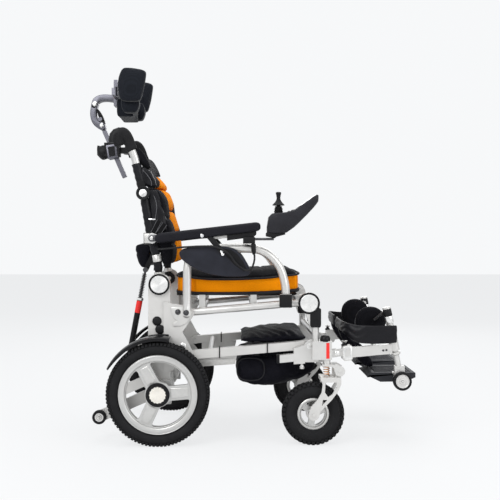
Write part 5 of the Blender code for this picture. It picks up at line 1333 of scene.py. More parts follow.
def arm_fittings():
    """The steel plate, the strut and the bolts of the armrests."""
    patch(
        "arm_plate", "arm_{}", "dark_steel", bar((-0.303, 0.64), (-0.13, 0.651), 0.021, 12), 0.2227, 0.229,
        angle=35,
    )
    patch(
        "arm_strut", "arm_{}", "moulded_black", [
            (-0.128, 0.642), (-0.108, 0.644), (-0.072, 0.601), (-0.0725, 0.589), (-0.08, 0.586),
            (-0.088, 0.593),
        ],
        0.2727, 0.2773, 0.001,
    )
    patch(
        "arm_rail", "arm_{}", "gearbox_grey",
        [(-0.115, 0.636), (0.0, 0.649), (0.005, 0.659), (-0.113, 0.645)], 0.26, 0.27, 0.001,
    )
    lathed(
        "arm_eye", "arm_{}", "zinc_steel", (-0.303, 0.64),
        [(0, 0.2333), (0.0045, 0.233), (0.0062, 0.2315), (0.0062, 0.228), (0, 0.228)],
    )
    lathed(
        "arm_screw", "arm_{}", "chrome", (-0.142, 0.648),
        [(0, 0.2862), (0.003, 0.2862), (0.0052, 0.2856), (0.006, 0.284), (0.006, 0.28), (0, 0.28)],
    )
    bolt = [(0, 0.2818), (0.0026, 0.2818), (0.0046, 0.2806), (0.005, 0.279), (0.005, 0.2765), (0, 0.2765)]
    lathed("arm_bolt_0", "arm_{}", "chrome", (-0.0815, 0.599), bolt, 20)
    lathed("arm_bolt_1", "arm_{}", "chrome", (-0.0785, 0.5905), bolt, 20)


# Side guards
GUARD_LINE = [
    (-0.213, 0.5944), (-0.206, 0.6045), (-0.19, 0.61), (-0.15, 0.6135), (-0.1108, 0.6155), (-0.08, 0.615),
    (-0.048, 0.6105), (-0.027, 0.596), (-0.006, 0.57), (0.006, 0.545), (0.005, 0.529), (-0.012, 0.522),
    (-0.06, 0.521), (-0.1074, 0.5265), (-0.15, 0.54), (-0.187, 0.56), (-0.2085, 0.579),
]


def side_guard(side_name, side):
    """The satin plastic leaf between the seat and the armrest."""
    outline = soft_line(GUARD_LINE, 3, closed=True)
    dressed(
        panel(f"guard_{side_name}", outline, (side * 0.264, side * 0.2717), 0.003, 4), "seat", "guard_satin",
        f"side_guard_{side_name}", angle=55,
    )


# Bags
def sagging_bag(name, outline, half, body, node, folds, voxel=0.006):
    """A soft bag from its side outline, with folds that run down from its straps."""
    form = panel(name, soft_line(outline, 2, closed=True), (-half, half), 0.01, 3)
    form = stuffed(form, 0.006, voxel, 4.0)
    outwards = [vert.normal.copy() for vert in form.data.vertices]
    for vert, outward in zip(form.data.vertices, outwards):
        wave = 0.0
        for freq_x, freq_z, phase, depth in folds:
            wave += depth * math.sin(
                vert.co.x * freq_x + vert.co.z * freq_z + phase + 2.2 * math.sin(vert.co.y * 17)
            )
        edge = share(vert.co.y / half, 10) if abs(outward.y) < 0.5 else 1
        vert.co += outward * wave * max(edge, 0.2)
    dressed(form, body, "bag_cloth", node, smooth=False)
    return form


SEAT_BAG_LINE = [
    (-0.026, 0.312), (-0.0235, 0.3165), (0.001, 0.32), (0.045, 0.325), (0.09, 0.331), (0.13, 0.3352),
    (0.178, 0.3352), (0.19, 0.329), (0.188, 0.32), (0.15, 0.313), (0.08, 0.3085), (0.03, 0.306),
]
UNDER_BAG_LINE = [
    (-0.035, 0.256), (-0.034, 0.192), (-0.009, 0.1775), (0.02, 0.1715), (0.088, 0.1715), (0.149, 0.185),
    (0.198, 0.203), (0.219, 0.223), (0.212, 0.256), (0.15, 0.269), (0.06, 0.264),
]


def bags():
    folds = [(120, 40, 0.3, 0.0011), (55, -90, 1.4, 0.0016), (210, 130, 2.0, 0.0006)]
    seat = sagging_bag("bag_under_seat", SEAT_BAG_LINE, 0.18, "rails", "seat_bag", folds)
    for vert in seat.data.vertices:
        fall = abs(vert.co.y / 0.18) ** 3 * max(0, (vert.co.z - 0.308) / 0.028)
        crease = math.sin(
            vert.co.x * 95 + 9 * math.sin(vert.co.y * 9 + vert.co.x * 14)
        ) * max(0, (vert.co.z - 0.312) / 0.024)
        vert.co.z += 0.0022 * crease - 0.012 * fall
    kept_in(seat, (-0.03, -0.1885, 0.3045), (0.1985, 0.1885, 0.3395))
    under = sagging_bag("bag_under_rails", UNDER_BAG_LINE, 0.18, "rails", "under_bag", folds)
    kept_in(under, (-0.04, -0.1885, 0.166), (0.2245, 0.1885, 0.273))
    for side_name, side in SIDES.items():
        y = side * 0.1868
        oval = []
        for i in range(20):
            turn = math.tau * i / 20
            x = 0.01 + 0.044 * math.copysign(abs(math.cos(turn)) ** 0.75, math.cos(turn))
            z = 0.221 + 0.036 * math.copysign(abs(math.sin(turn)) ** 0.75, math.sin(turn))
            oval.append((x, y, z))
        dressed(ring_hose(f"bag_pocket_{side_name}", oval, 0.0022), "rails", "piping_black", smooth=False)
        for i, x in enumerate((0.03, 0.122)):
            loop = [
                (x, side * 0.183, 0.31), (x, side * 0.1895, 0.306), (x, side * 0.1905, 0.295),
                (x, side * 0.1905, 0.278), (x, side * 0.189, 0.266), (x, side * 0.18, 0.264),
            ]
            dressed(
                strap(f"bag_strap_{i}_{side_name}", loop, 0.018, 0.0016, across=(1, 0, 0)), "rails",
                "strap_web", smooth=False,
            )


# Leg rests
HEEL_LINE = [
    (0.301, 0.344), (0.311, 0.347), (0.34, 0.308), (0.372, 0.293), (0.396, 0.26), (0.413, 0.229),
    (0.409, 0.22), (0.39, 0.2205), (0.37, 0.236), (0.354, 0.258), (0.33, 0.288), (0.308, 0.32),
]
CALF_PLACE = (0.395, 0.371)


def calf_pad(side_name, side):
    """A round dished calf pad with its edge and its rod."""
    profile = [
        (0, 0.1535), (0.02, 0.154), (0.036, 0.156), (0.0455, 0.16), (0.0485, 0.168), (0.048, 0.176),
        (0.043, 0.1815), (0.03, 0.1845), (0, 0.185),
    ]
    dome = turned(f"calf_dome_{side_name}", profile, (CALF_PLACE[0], 0, CALF_PLACE[1]), 40, axis=(0, side, 0))
    if side < 0:
        editing(dome, tidy_mesh)
    dome = stuffed(dome, 0.0025, 0.0042, 4.0)
    centre = Vector((CALF_PLACE[0], 0, CALF_PLACE[1]))
    for vert in dome.data.vertices:
        flat = Vector((vert.co.x, 0, vert.co.z)) - centre
        squareness = 1 + 0.06 * abs(math.sin(2 * math.atan2(flat.z, flat.x)))
        flat *= min(squareness, 0.05 / max(flat.length, 0.001)) if flat.length > 0.03 else 1
        vert.co.x, vert.co.z = centre.x + flat.x, centre.z + flat.z
    kept_in(dome, (-1, 0.1495, 0), (1, 0.1872, 1), side)
    dressed(dome, f"legrest_{side_name}", "black_mesh", f"calf_pad_{side_name}", smooth=False)
    rim = [
        (
            CALF_PLACE[0] + 0.0475 * math.cos(math.tau * i / 20), side * 0.17,
            CALF_PLACE[1] + 0.0475 * math.sin(math.tau * i / 20),
        )
        for i in range(20)
    ]
    dressed(
        ring_hose(f"calf_edge_{side_name}", rim, 0.0022), f"legrest_{side_name}", "strap_grey", smooth=False,
    )
    dressed(
        hose(
            f"calf_rod_{side_name}", [
                (0.434, side * 0.23, 0.405), (0.432, side * 0.215, 0.404), (0.42, side * 0.202, 0.395),
                (0.405, side * 0.19, 0.38),
            ],
            0.005, 14,
        ),
        f"legrest_{side_name}", "dark_steel", angle=50,
    )


def calf_band(side_name, side):
    """The band behind the calves, pleated and sagging between its ends."""
    line = [
        (0.466, 0.2497), (0.445, 0.25), (0.42, 0.2497), (0.395, 0.2496), (0.37, 0.2485), (0.35, 0.243),
        (0.33, 0.235), (0.316, 0.222), (0.309, 0.205), (0.3045, 0.182), (0.3035, 0.16), (0.3035, 0.11),
        (0.3035, 0.07), (0.3035, 0.03),
    ]
    points = soft_line([Vector((x, y, 0)) for x, y in line], 3)
    band = begin(f"calf_band_{side_name}", bpy.ops.mesh.primitive_plane_add, size=1)
    work = bmesh.new()
    rows = []
    steps = 9
    for i, point in enumerate(points):
        ahead = points[min(i + 1, len(points) - 1)] - points[max(i - 1, 0)]
        away = Vector((ahead.y, -ahead.x, 0)).normalized()
        row = []
        for k in range(steps):
            rise = k / (steps - 1)
            lift = min(max((0.355 - point.x) / 0.05, 0), 1)
            z = 0.315 + 0.024 * lift * lift + (0.054 - 0.018 * lift * lift) * rise
            z -= (0.005 - 0.003 * rise) * share((point.x - 0.395) / 0.08)
            pleat = 0.0026 * math.sin(rise * 15 + 2.2 * math.sin(i * 0.5) + 0.35 * i)
            bulge = 0.002 * share(2 * rise - 1)
            spot = point - away * (pleat * share(2 * rise - 1, 4) - bulge)
            row.append(work.verts.new((spot.x, side * spot.y, z)))
        rows.append(row)
    for first, second in zip(rows, rows[1:]):
        for k in range(steps - 1):
            work.faces.new((first[k], second[k], second[k + 1], first[k + 1]))
    bmesh.ops.recalc_face_normals(work, faces=work.faces)
    work.to_mesh(band.data)
    work.free()
    applied(band, "SOLIDIFY", thickness=0.0044, offset=0)
    rounded(band, 1)
    kept_in(band, (0.299, -0.2528, 0.3095), (0.47, 0.2528, 0.3785))
    smoothed(band, 60)
    dressed(band, f"legrest_{side_name}", "side_vinyl", smooth=False)


def heel_sling(side_name, side):
    """The heel strap, rippled across, carried by the leg rest."""
    outline = soft_line(HEEL_LINE, 3, closed=True)
    heel = panel(f"heel_sling_{side_name}", outline, (side * 0.074, side * 0.126), 0.006, 3)
    heel = stuffed(heel, 0.003, 0.005, 3.0)
    for vert in heel.data.vertices:
        vert.co.y += side * 0.0018 * math.sin(vert.co.z * 190 + 5 * math.sin(vert.co.x * 70))
    dressed(heel, f"legrest_{side_name}", "bag_cloth", smooth=False)
    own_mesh(heel)


FOOT_LINE = [
    (0.378, 0.206), (0.378, 0.201), (0.392, 0.215), (0.531, 0.215), (0.531, 0.2), (0.5, 0.187), (0.42, 0.186),
]


def foot_plate(side_name, side):
    """A moulded plate with a bevelled rim and a ribbed tread."""
    body = panel(f"foot_plate_{side_name}", FOOT_LINE, (side * 0.051, side * 0.2175), 0.003, 3)
    cut(body, side_block("notch", side, (0.4, 0.07, 0.213), (0.518, 0.198, 0.23)))
    ribs = []
    for i in range(9):
        y = side * (0.08 + 0.0135 * i)
        ribs.append(block("rib", (0.406, y - 0.0028, 0.212), (0.512, y + 0.0028, 0.2152), 0.0012))
    tread_part = joined(f"foot_tread_{side_name}", ribs)
    kept_in(body, (0.377, -0.219, 0.1855), (0.5315, 0.219, 0.2165))
    dressed(body, f"footplate_{side_name}", "foot_plastic", f"footplate_{side_name}")
    dressed(tread_part, f"footplate_{side_name}", "foot_plastic")


def leg_tube_fittings(side_name, side):
    """A black cap, a zinc collar and a silver ring along the leg rest's tube."""
    top, foot = Vector((0.436, side * 0.232, 0.423)), Vector((0.474, side * 0.232, 0.236))
    for label, finish, profile in (
        (
            "cap", "moulded_black",
            [(0, -0.001), (0.011, 0.0), (0.0136, 0.0035), (0.014, 0.023), (0.0132, 0.025), (0, 0.025)],
        ),
        (
            "collar", "zinc_steel", [
                (0.01, 0.0255), (0.0134, 0.0258), (0.0138, 0.0275), (0.0138, 0.046), (0.0128, 0.048),
                (0.01, 0.048),
            ],
        ),
        (
            "ring", "silver_tube",
            [(0.009, 0.14), (0.0155, 0.1402), (0.0158, 0.142), (0.015, 0.147), (0.012, 0.15), (0.009, 0.15)],
        ),
    ):
        piece = turned(f"leg_{label}_{side_name}", profile, top, 32, axis=(foot - top).normalized())
        dressed(piece, f"legrest_{side_name}", finish, angle=35)


def leg_clamp(side_name, side):
    """The clamp's outer face with its window."""
    edge = panel(
        f"clamp_edge_{side_name}", [
            (0.2985, 0.262), (0.304, 0.258), (0.3225, 0.26), (0.326, 0.265), (0.326, 0.299), (0.3215, 0.303),
            (0.301, 0.301), (0.2985, 0.297),
        ],
        (side * 0.2446, side * 0.2478), 0.0008,
    )
    cut(
        edge, panel(
            "hole", [(0.304, 0.27), (0.32, 0.2715), (0.32, 0.292), (0.304, 0.2905)],
            (side * 0.2366, side * 0.2566),
        ),
    )
    dressed(edge, f"legrest_{side_name}", "zinc_steel")


def leg_bolts():
    """The clamp's wing knob, its bolts and the leg rest's pivot bolt."""
    patch(
        "clamp_knob", "legrest_{}", "moulded_black", [
            (0.292, 0.304), (0.299, 0.309), (0.3, 0.319), (0.306, 0.319), (0.3075, 0.309), (0.315, 0.304),
            (0.308, 0.3005), (0.2985, 0.3005),
        ],
        0.2245, 0.2395, 0.0024, 3,
    )
    bolt = [(0, 0.2462), (0.0026, 0.2462), (0.0034, 0.245), (0.0034, 0.242), (0, 0.242)]
    lathed("leg_bolt_0", "legrest_{}", "dark_steel", (0.424, 0.289), bolt, 16)
    lathed("leg_bolt_1", "legrest_{}", "dark_steel", (0.434, 0.29), bolt, 16)
    lathed(
        "leg_pivot_bolt", "front", "zinc_steel", (0.278, 0.28),
        [(0, 0.248), (0.005, 0.248), (0.0072, 0.2468), (0.0076, 0.245), (0.0076, 0.244), (0, 0.244)],
    )


# Joystick
CABLE_ROUTE = [
    (0.0165, -0.2715, 0.6232), (0.0175, -0.2725, 0.605), (0.02, -0.279, 0.575), (0.009, -0.283, 0.545),
    (-0.013, -0.284, 0.544), (-0.04, -0.2835, 0.566), (-0.057, -0.2835, 0.589), (-0.095, -0.2835, 0.612),
    (-0.16, -0.28, 0.615), (-0.28, -0.27, 0.606),
]


def joystick_cable():
    """The cable from under the joystick, past the guard and back along the arm to the back frame."""
    points = soft_line(CABLE_ROUTE, 3)
    cable = begin("cable_joystick", bpy.ops.curve.primitive_bezier_curve_add)
    cable.location = (0, 0, 0)
    splines = cable.data.splines
    splines.remove(splines[0])
    line = splines.new("POLY")
    line.points.add(len(points) - 1)
    for knot, point in zip(line.points, points):
        knot.co = (*point, 1)
    cable.data.bevel_depth = 0.003
    cable.data.bevel_resolution = 4
    cable.data.use_fill_caps = True
    line.use_smooth = True
    cable.data.materials.append(PAINT["cable_black"])
    riding(cable, "arm_right", "tyre_rubber", "joystick_cable")
    dressed(
        turned(
            "cable_relief", [
                (0.0031, -0.001), (0.0072, 0.0), (0.0078, 0.006), (0.007, 0.024), (0.0052, 0.03),
                (0.004, 0.033), (0.0031, 0.034),
            ],
            Vector(CABLE_ROUTE[0]), 24, axis=(Vector(CABLE_ROUTE[1]) - Vector(CABLE_ROUTE[0])).normalized(),
        ),
        "arm_right", "moulded_black", angle=35,
    )


POD_Y = -0.262
POD_SECTIONS = [
    # X, lowest Z, highest Z, half width at the foot and at the top
    (0.059, 0.659, 0.676, 0.02, 0.024), (0.064, 0.6572, 0.706, 0.024, 0.03),
    (0.074, 0.6562, 0.7168, 0.026, 0.0325), (0.095, 0.6558, 0.7186, 0.028, 0.0338),
    (0.118, 0.6572, 0.7208, 0.028, 0.0338), (0.142, 0.674, 0.7275, 0.027, 0.0338),
    (0.156, 0.687, 0.7372, 0.0265, 0.0336), (0.18, 0.711, 0.7535, 0.026, 0.033),
    (0.202, 0.7345, 0.769, 0.025, 0.0322), (0.2125, 0.7475, 0.7752, 0.024, 0.0305),
    (0.2172, 0.7545, 0.7735, 0.0225, 0.0265),
]


def joystick_housing():
    """A wedge-shaped housing that narrows downwards, with a well for the stick and a seat for the button."""
    rings = []
    for x, low, high, foot, top in POD_SECTIONS:
        waist = low + (high - low) * 0.42
        half = [
            (foot * 0.86, low), (foot, low + 0.003), (top, waist), (top * 0.985, high - 0.0035),
            (top * 0.9, high),
        ]
        ring = [(x, POD_Y + y, z) for y, z in half] + [(x, POD_Y - y, z) for y, z in reversed(half)]
        rings.append(ring)
    shell = lofted("joystick_housing", rings)
    bevelled(shell, 0.0016, 2, 30)
    well = drum("well", (0.095, POD_Y, 0.7), (0.095, POD_Y, 0.74), 0.0196, 40)
    seat = drum("seat", (0.147, POD_Y, 0.718), (0.137, POD_Y, 0.742), 0.0066, 24)
    cut(shell, well, seat)
    kept_in(shell, (0.057, -0.2965, 0.64), (0.218, -0.2275, 0.7765))
    dressed(shell, "arm_right", "controller_grey", "joystick_pod", angle=38)


def joystick_display():
    """The slanted display with its chrome trim."""
    along = (Vector((0.2105, 0, 0.7742)) - Vector((0.156, 0, 0.7372))).normalized()
    normal = Vector((-along.z, 0, along.x))

    def on_display(t, y, lift):
        return Vector((0.156, POD_Y + y, 0.7372)) + along * t + normal * lift

    rim = [
        on_display(t, y, 0.0004)
        for t, y in (
            (0.004, -0.026), (0.004, 0.026), (0.03, 0.0262), (0.058, 0.024), (0.0635, 0.018),
            (0.0635, -0.018), (0.058, -0.024), (0.03, -0.0262),
        )
    ]
    trim = ring_hose("display_trim", rim, 0.0014)
    kept_in(trim, (0.05, -0.2965, 0.6), (0.2185, -0.2275, 0.7785))
    dressed(trim, "arm_right", "chrome", smooth=False)
    glass = lofted(
        "display_glass", [
            [
                on_display(t, y, lift)
                for t, y in (
                    (0.008, -0.022), (0.008, 0.022), (0.05, 0.021), (0.058, 0.015), (0.058, -0.015),
                    (0.05, -0.021),
                )
            ]
            for lift in (-0.0015, 0.0006)
        ],
    )
    bevelled(glass, 0.0004, 1, 40)
    dressed(glass, "arm_right", "display_glass", angle=30)


def joystick_keys():
    """The keys before the display, and the button on its seat."""
    for i, y in enumerate((-0.017, 0.0, 0.017)):
        for j, t in enumerate((-0.03, -0.0185)):
            if y == 0.0 and j == 1:
                continue
            base = Vector((0.156 + t, POD_Y + y, 0.73))
            z = 0.7275 + max(0, base.x - 0.142) * 0.7 if base.x > 0.142 else 0.7208 + (base.x - 0.118) * 0.28
            dressed(
                turned(
                    f"pod_key_{i}_{j}",
                    [(0, 0.0026), (0.0032, 0.0024), (0.0042, 0.0014), (0.0042, -0.002), (0, -0.002)],
                    (base.x, base.y, z), 20, axis=Vector((-0.4, 0, 1)).normalized(),
                ),
                "arm_right", "gearbox_grey" if i == 1 else "moulded_black", slot="dark_plastic", angle=30,
            )

    dressed(
        turned(
            "pod_button", [
                (0, 0.0068), (0.0034, 0.0066), (0.0052, 0.0056), (0.0058, 0.0036), (0.0058, -0.004),
                (0, -0.004),
            ],
            (0.147, POD_Y, 0.727), 28, axis=Vector((-0.35, 0, 1)).normalized(),
        ),
        "button", "gearbox_grey", "joystick_button", angle=30, slot="grey_paint",
    )


def joystick_stick():
    """The bellows and the knob."""
    base = Vector((0.095, POD_Y, 0.0))
    bellows = [(0.003, 0.719), (0.0128, 0.7182), (0.014, 0.7196), (0.0128, 0.7214)]
    for i, radius in enumerate((0.0142, 0.0136, 0.0126, 0.0114)):
        z = 0.7236 + 0.0046 * i
        bellows += [(radius, z), (radius + 0.0006, z + 0.0009), (radius - 0.0026, z + 0.0024)]
    bellows += [(0.0078, 0.7405), (0.003, 0.7405)]
    dressed(turned("stick_bellows", bellows, base, 40, axis=(0, 0, 1)), "stick", "grip_foam", angle=40)
    dressed(
        turned(
            "stick_knob", [
                (0, 0.7845), (0.005, 0.7842), (0.0082, 0.7826), (0.0086, 0.78), (0.007, 0.774),
                (0.0058, 0.766), (0.0066, 0.76), (0.0105, 0.753), (0.0165, 0.7466), (0.019, 0.7442),
                (0.0186, 0.7424), (0.015, 0.7418), (0.006, 0.7415), (0.004, 0.73), (0, 0.73),
            ],
            base, 40, axis=(0, 0, 1),
        ),
        "stick", "moulded_black", "joystick_knob", angle=40,
    )


def joystick_mount():
    """The rods, the foot and the core that carry the joystick on the armrest."""
    for sign in (-1, 1):
        dressed(
            hose(
                f"pod_arm_{'near' if sign < 0 else 'far'}", [
                    (-0.012, POD_Y + sign * 0.013, 0.637), (0.03, POD_Y + sign * 0.013, 0.6375),
                    (0.08, POD_Y + sign * 0.013, 0.6378),
                ],
                0.004, 14,
            ),
            "arm_right", "dark_steel", angle=50,
        )
    dressed(
        panel(
            "pod_foot", [
                (0.056, 0.646), (0.084, 0.64), (0.086, 0.644), (0.116, 0.652), (0.114, 0.6575), (0.06, 0.66),
                (0.056, 0.656),
            ],
            (POD_Y - 0.02, POD_Y + 0.02), 0.0012,
        ),
        "arm_right", "moulded_black",
    )
    dressed(
        block("cable_gland", (-0.015, POD_Y - 0.02, 0.6236), (0.022, POD_Y + 0.018, 0.644), 0.0022, 3),
        "arm_right", "moulded_black",
    )
    dressed(
        panel(
            "arm_core", [(-0.065, 0.633), (0.018, 0.644), (0.026, 0.652), (0.026, 0.664), (-0.065, 0.653)],
            (POD_Y - 0.013, POD_Y + 0.013), 0.0015,
        ),
        "arm_right", "moulded_black",
    )


# Pivots and bolts
def pivot_disc(name, place, face, radius, ring, body):
    """A spun metal disc in a black ring, on both sides of the chair."""
    spun_finish(f"spun_{name}", place)
    rim = [
        (radius - 0.001, -0.005), (ring, -0.005), (ring + 0.0004, -0.0006), (ring - 0.001, 0.0008),
        (radius + 0.0004, 0.001), (radius - 0.001, 0.0002),
    ]
    disc = [
        (0, 0.0022), (radius * 0.2, 0.0021), (radius * 0.93, 0.0008), (radius - 0.0006, -0.0002),
        (radius - 0.0006, -0.004), (0, -0.004),
    ]
    lathed(f"{name}_ring", body, "moulded_black", place, [(r, face + proud) for r, proud in rim], 64, 35)
    lathed(f"{name}_disc", body, f"spun_{name}", place, [(r, face + proud) for r, proud in disc], 64)


def bolt_head(name, place, face, radius, body, washer=1.55, finish="zinc_steel"):
    """A domed socket head on a washer, on both sides of the chair; the washer is a share of the radius."""
    head = [(0, 0.35), (0.42, 0.35), (0.48, 0.62), (0.8, 0.52), (1, 0.16), (washer, 0.1)]
    profile = [(radius * r, face + radius * proud) for r, proud in head]
    lathed(name, body, finish, place, profile + [(radius * washer, face - 0.0014), (0, face - 0.0014)], 28)


ARCH_HOOK = [
    (-0.242, 0.423), (-0.205, 0.425), (-0.185, 0.422), (-0.176, 0.408), (-0.178, 0.393), (-0.19, 0.376),
    (-0.209, 0.365), (-0.233, 0.362), (-0.234, 0.374), (-0.221, 0.38), (-0.233, 0.39), (-0.24, 0.408),
]


def pivots_and_bolts():
    pivot_disc("recline", RECLINE_PIVOT, 0.235, 0.0285, 0.033, "back")
    pivot_disc("seat_front", SEAT_PIVOT, 0.2672, 0.0285, 0.0333, "front")
    pivot_disc("upper_hinge", (-0.331, 0.783), 0.22, 0.013, 0.0218, "upper_back")
    bolt_head("rail_front_bolt", (0.194, 0.303), 0.2448, 0.006, "front")
    patch("arch_hook", "rear", "silver_tube", ARCH_HOOK, 0.2318, 0.2362, 0.0012)
    bolt_head("bracket_bolt_a", (-0.2195, 0.4085), 0.2364, 0.0058, "rear", finish="dark_steel")
    bolt_head("bracket_bolt_b", (-0.1922, 0.4085), 0.2632, 0.0058, "seat", finish="dark_steel")
    bolt_head("thumb_screw_cap", (0.17, 0.237), 0.233, 0.0056, "front", washer=1.1, finish="chrome")
    bumper = [(0, 0.2318), (0.008, 0.2314), (0.0128, 0.2296), (0.0146, 0.2272), (0.015, 0.2245), (0, 0.2245)]
    lathed("column_bumper_0", "rear", "moulded_black", (-0.286, 0.379), bumper, 32, 35)
    lathed("column_bumper_1", "rear", "moulded_black", (-0.277, 0.353), bumper, 32, 35)
    lathed(
        "bracket_cap", "rear", "zinc_steel", (-0.204, 0.302),
        [(0, 0.2345), (0.007, 0.2343), (0.0092, 0.2332), (0.0096, 0.2318), (0, 0.2318)], 28,
    )


# Mudguards
def mudguard(side_name, side):
    """A curved shell with a rolled lip over the tyre, drawn to a point behind."""
    work_rows = []
    start, end, count = 78, 154, 26
    for i in range(count):
        turn = start + (end - start) * i / (count - 1)
        share_along = (turn - start) / (end - start)
        outer = 0.1772
        fade = 1 - max(0, (share_along - 0.72) / 0.28) ** 2 * 0.72
        section = [
            (outer - 0.0006, 0.2338), (outer, 0.245), (outer + 0.0006, 0.27), (outer, 0.293),
            (outer - 0.003, 0.3), (outer - 0.003 - 0.009 * fade, 0.3018),
            (outer - 0.0036 - 0.0088 * fade, 0.2996), (outer - 0.0062, 0.2975), (outer - 0.003, 0.29),
            (outer - 0.0022, 0.27), (outer - 0.0026, 0.245), (outer - 0.003, 0.2338),
        ]
        row = []
        for radius, y in section:
            a = math.radians(turn)
            wide = 0.2338 + (y - 0.2338) * (0.78 + 0.22 * fade) if share_along > 0.5 else y
            row.append(
                (REAR_AXLE[0] + radius * math.cos(a), side * wide, REAR_AXLE[1] + radius * math.sin(a))
            )
        work_rows.append(row)
    shell = lofted(f"mudguard_{side_name}", work_rows)
    bevelled(shell, 0.0005, 1, 60)
    kept_in(shell, (-0.441, -0.3035, 0.23), (-0.23, 0.3035, 0.342))
    dressed(shell, "rear", "glossy_black", f"fender_{side_name}", angle=50)


# Trim
def zip_ties():
    for i, x in enumerate((-0.089, 0.062)):
        z = 0.2864 + x * 0.0868
        for side_name, side in SIDES.items():
            inner, outer = side * 0.19, side * 0.22
            loop = [
                (x, inner, z - 0.015), (x, side * 0.205, z - 0.0158), (x, outer, z - 0.015), (x, outer, z),
                (x, outer, z + 0.015), (x, side * 0.205, z + 0.0158), (x, inner, z + 0.015), (x, inner, z),
            ]
            dressed(
                ring_hose(f"zip_tie_{i}_{side_name}", loop, 0.0017, 6), "rails", "moulded_black",
                smooth=False,
            )


def front_block_trim():
    """The knobs over the casters, the bare label strips, the caps and the sockets of the armrests."""
    knob = [
        (0, 0.34), (0.007, 0.3392), (0.0126, 0.3358), (0.0156, 0.33), (0.0162, 0.3225), (0.0154, 0.319),
        (0, 0.319),
    ]
    strip = [(0.014, 0.267), (0.0152, 0.2672), (0.0152, 0.3158), (0.014, 0.316)]
    upright = (0, 0, 1)
    for side_name, side in SIDES.items():
        top = turned(f"caster_knob_{side_name}", knob, (0.2405, side * CASTER_Y, 0), 40, axis=upright)
        dressed(top, "front", "glossy_black", angle=35)
        label = turned(f"front_label_{side_name}", strip, (0.245, side * CASTER_Y, 0), 48, axis=upright)
        cut(label, block("rest", (0.22, -0.3, 0.26), (0.2425, 0.3, 0.32)))
        dressed(label, "front", "signal_red", angle=30)
    neck = [(0.195, 0.3628), (0.225, 0.3628), (0.2275, 0.37), (0.2275, 0.4205)]
    neck += arc(SEAT_PIVOT, 0.0222, -20, 240, 14) + [(0.1925, 0.415), (0.1925, 0.37)]
    patch("front_neck", "front", "moulded_black", neck, 0.236, 0.2664, 0.002, 3)
    crate("arch_socket", "seat", "moulded_black", (0.099, 0.2325, 0.4236), (0.137, 0.2675, 0.4666), 0.0028, 3)
    crate("receiver_cap", "front", "moulded_black", (0.0905, 0.2198, 0.2475), (0.1, 0.2442, 0.2745), 0.0016)


def strut_trim():
    """The spring round the strut's rod, the bare red label strip and the nut."""
    foot, head = Vector((-0.385, -0.15, 0.245)), Vector((-0.33, -0.15, 0.538))
    along = head - foot
    unit = along.normalized()
    across = unit.cross(Vector((0, 1, 0))).normalized()
    side_way = Vector((0, 1, 0))
    coils, per = 16, 10
    start, end = 0.675, 0.955
    points = []
    for i in range(coils * per + 1):
        t = start + (end - start) * i / (coils * per)
        turn = math.tau * i / per
        points.append(foot + along * t + (across * math.cos(turn) + side_way * math.sin(turn)) * 0.0068)
    dressed(
        hose("strut_spring", points, 0.0011, 6), "strut_rod", "glossy_black", angle=60, slot="silver_metal",
    )
    dressed(
        turned(
            "strut_label", [(0.0094, 0), (0.00985, 0.0004), (0.00985, 0.0386), (0.0094, 0.039)],
            foot + along * 0.52, 32, axis=unit,
        ),
        "strut", "signal_red", angle=30,
    )
    dressed(
        turned(
            "strut_nut", [(0.0096, 0), (0.0112, 0.001), (0.0112, 0.008), (0.0096, 0.009)],
            foot + along * 0.655, 6, axis=unit,
        ),
        "strut", "zinc_steel", angle=30,
    )


def cane_trim():
    """Silver collars and bands on the canes, and their bare stretches."""
    for side_name, side in SIDES.items():
        y = side * CANE_Y
        for label, low, high, radius in (("mid", 0.567, 0.59, 0.0146), ("base", 0.52, 0.533, 0.015)):
            centre = Vector((cane_x(low), y, low))
            axis = (Vector((cane_x(high), y, high)) - centre)
            length = axis.length
            dressed(
                turned(
                    f"cane_band_{label}_{side_name}", [
                        (0.0115, 0), (radius - 0.0008, 0), (radius, 0.001), (radius, length - 0.001),
                        (radius - 0.0008, length), (0.0115, length),
                    ],
                    centre, 32, axis=axis.normalized(),
                ),
                "back", "silver_tube", angle=35,
            )
        dressed(
            hose(
                f"cane_bare_{side_name}", [(cane_x(z), y, z) for z in (0.877, 0.892, 0.907, 0.9205)], 0.0127,
                24,
            ),
            "upper_back", "silver_tube", angle=60,
        )
    crate("side_clip", "back", "chrome", (-0.315, 0.202, 0.6985), (-0.2925, 0.2062, 0.7025), 0.0008)
    crate("cane_collar", "back", "silver_tube", (-0.3308, 0.1735, 0.6225), (-0.298, 0.2062, 0.6575), 0.003, 3)


def side_plates():
    """The guards' glossy leaves, the mudguards' stays and the grey plate edges under the rails' rear."""
    patch(
        "guard_leaf", "seat", "glossy_black", [
            (-0.09, 0.609), (-0.052, 0.605), (-0.033, 0.591), (-0.013, 0.566), (-0.004, 0.544),
            (-0.012, 0.537), (-0.043, 0.558),
        ],
        0.27, 0.2722,
    )
    patch(
        "mudguard_stay", "rear", "glossy_black",
        [(-0.313, 0.3), (-0.248, 0.3), (-0.248, 0.338), (-0.28, 0.3395), (-0.313, 0.335)], 0.2262, 0.2345,
        0.002, 3,
    )
    patch(
        "tray_edge", "rails", "gearbox_grey",
        [(-0.158, 0.256), (-0.158, 0.24), (-0.148, 0.234), (-0.044, 0.24), (-0.04, 0.256)], 0.2028, 0.2046,
        0.0004,
    )


# Stage
STUDIO_WHITE = (0.93, 0.94, 0.95, 1)
# Name, place, size and power of the area lamps, which look at the seat
LAMPS = (
    ("key", (-1.6, -2.6, 2.6), 2.0, 70), ("fill", (2.4, -2.2, 1.6), 2.0, 34),
    ("top", (0.0, 0.2, 3.2), 2.6, 44), ("back", (0.6, 2.8, 2.0), 2.0, 24),
)


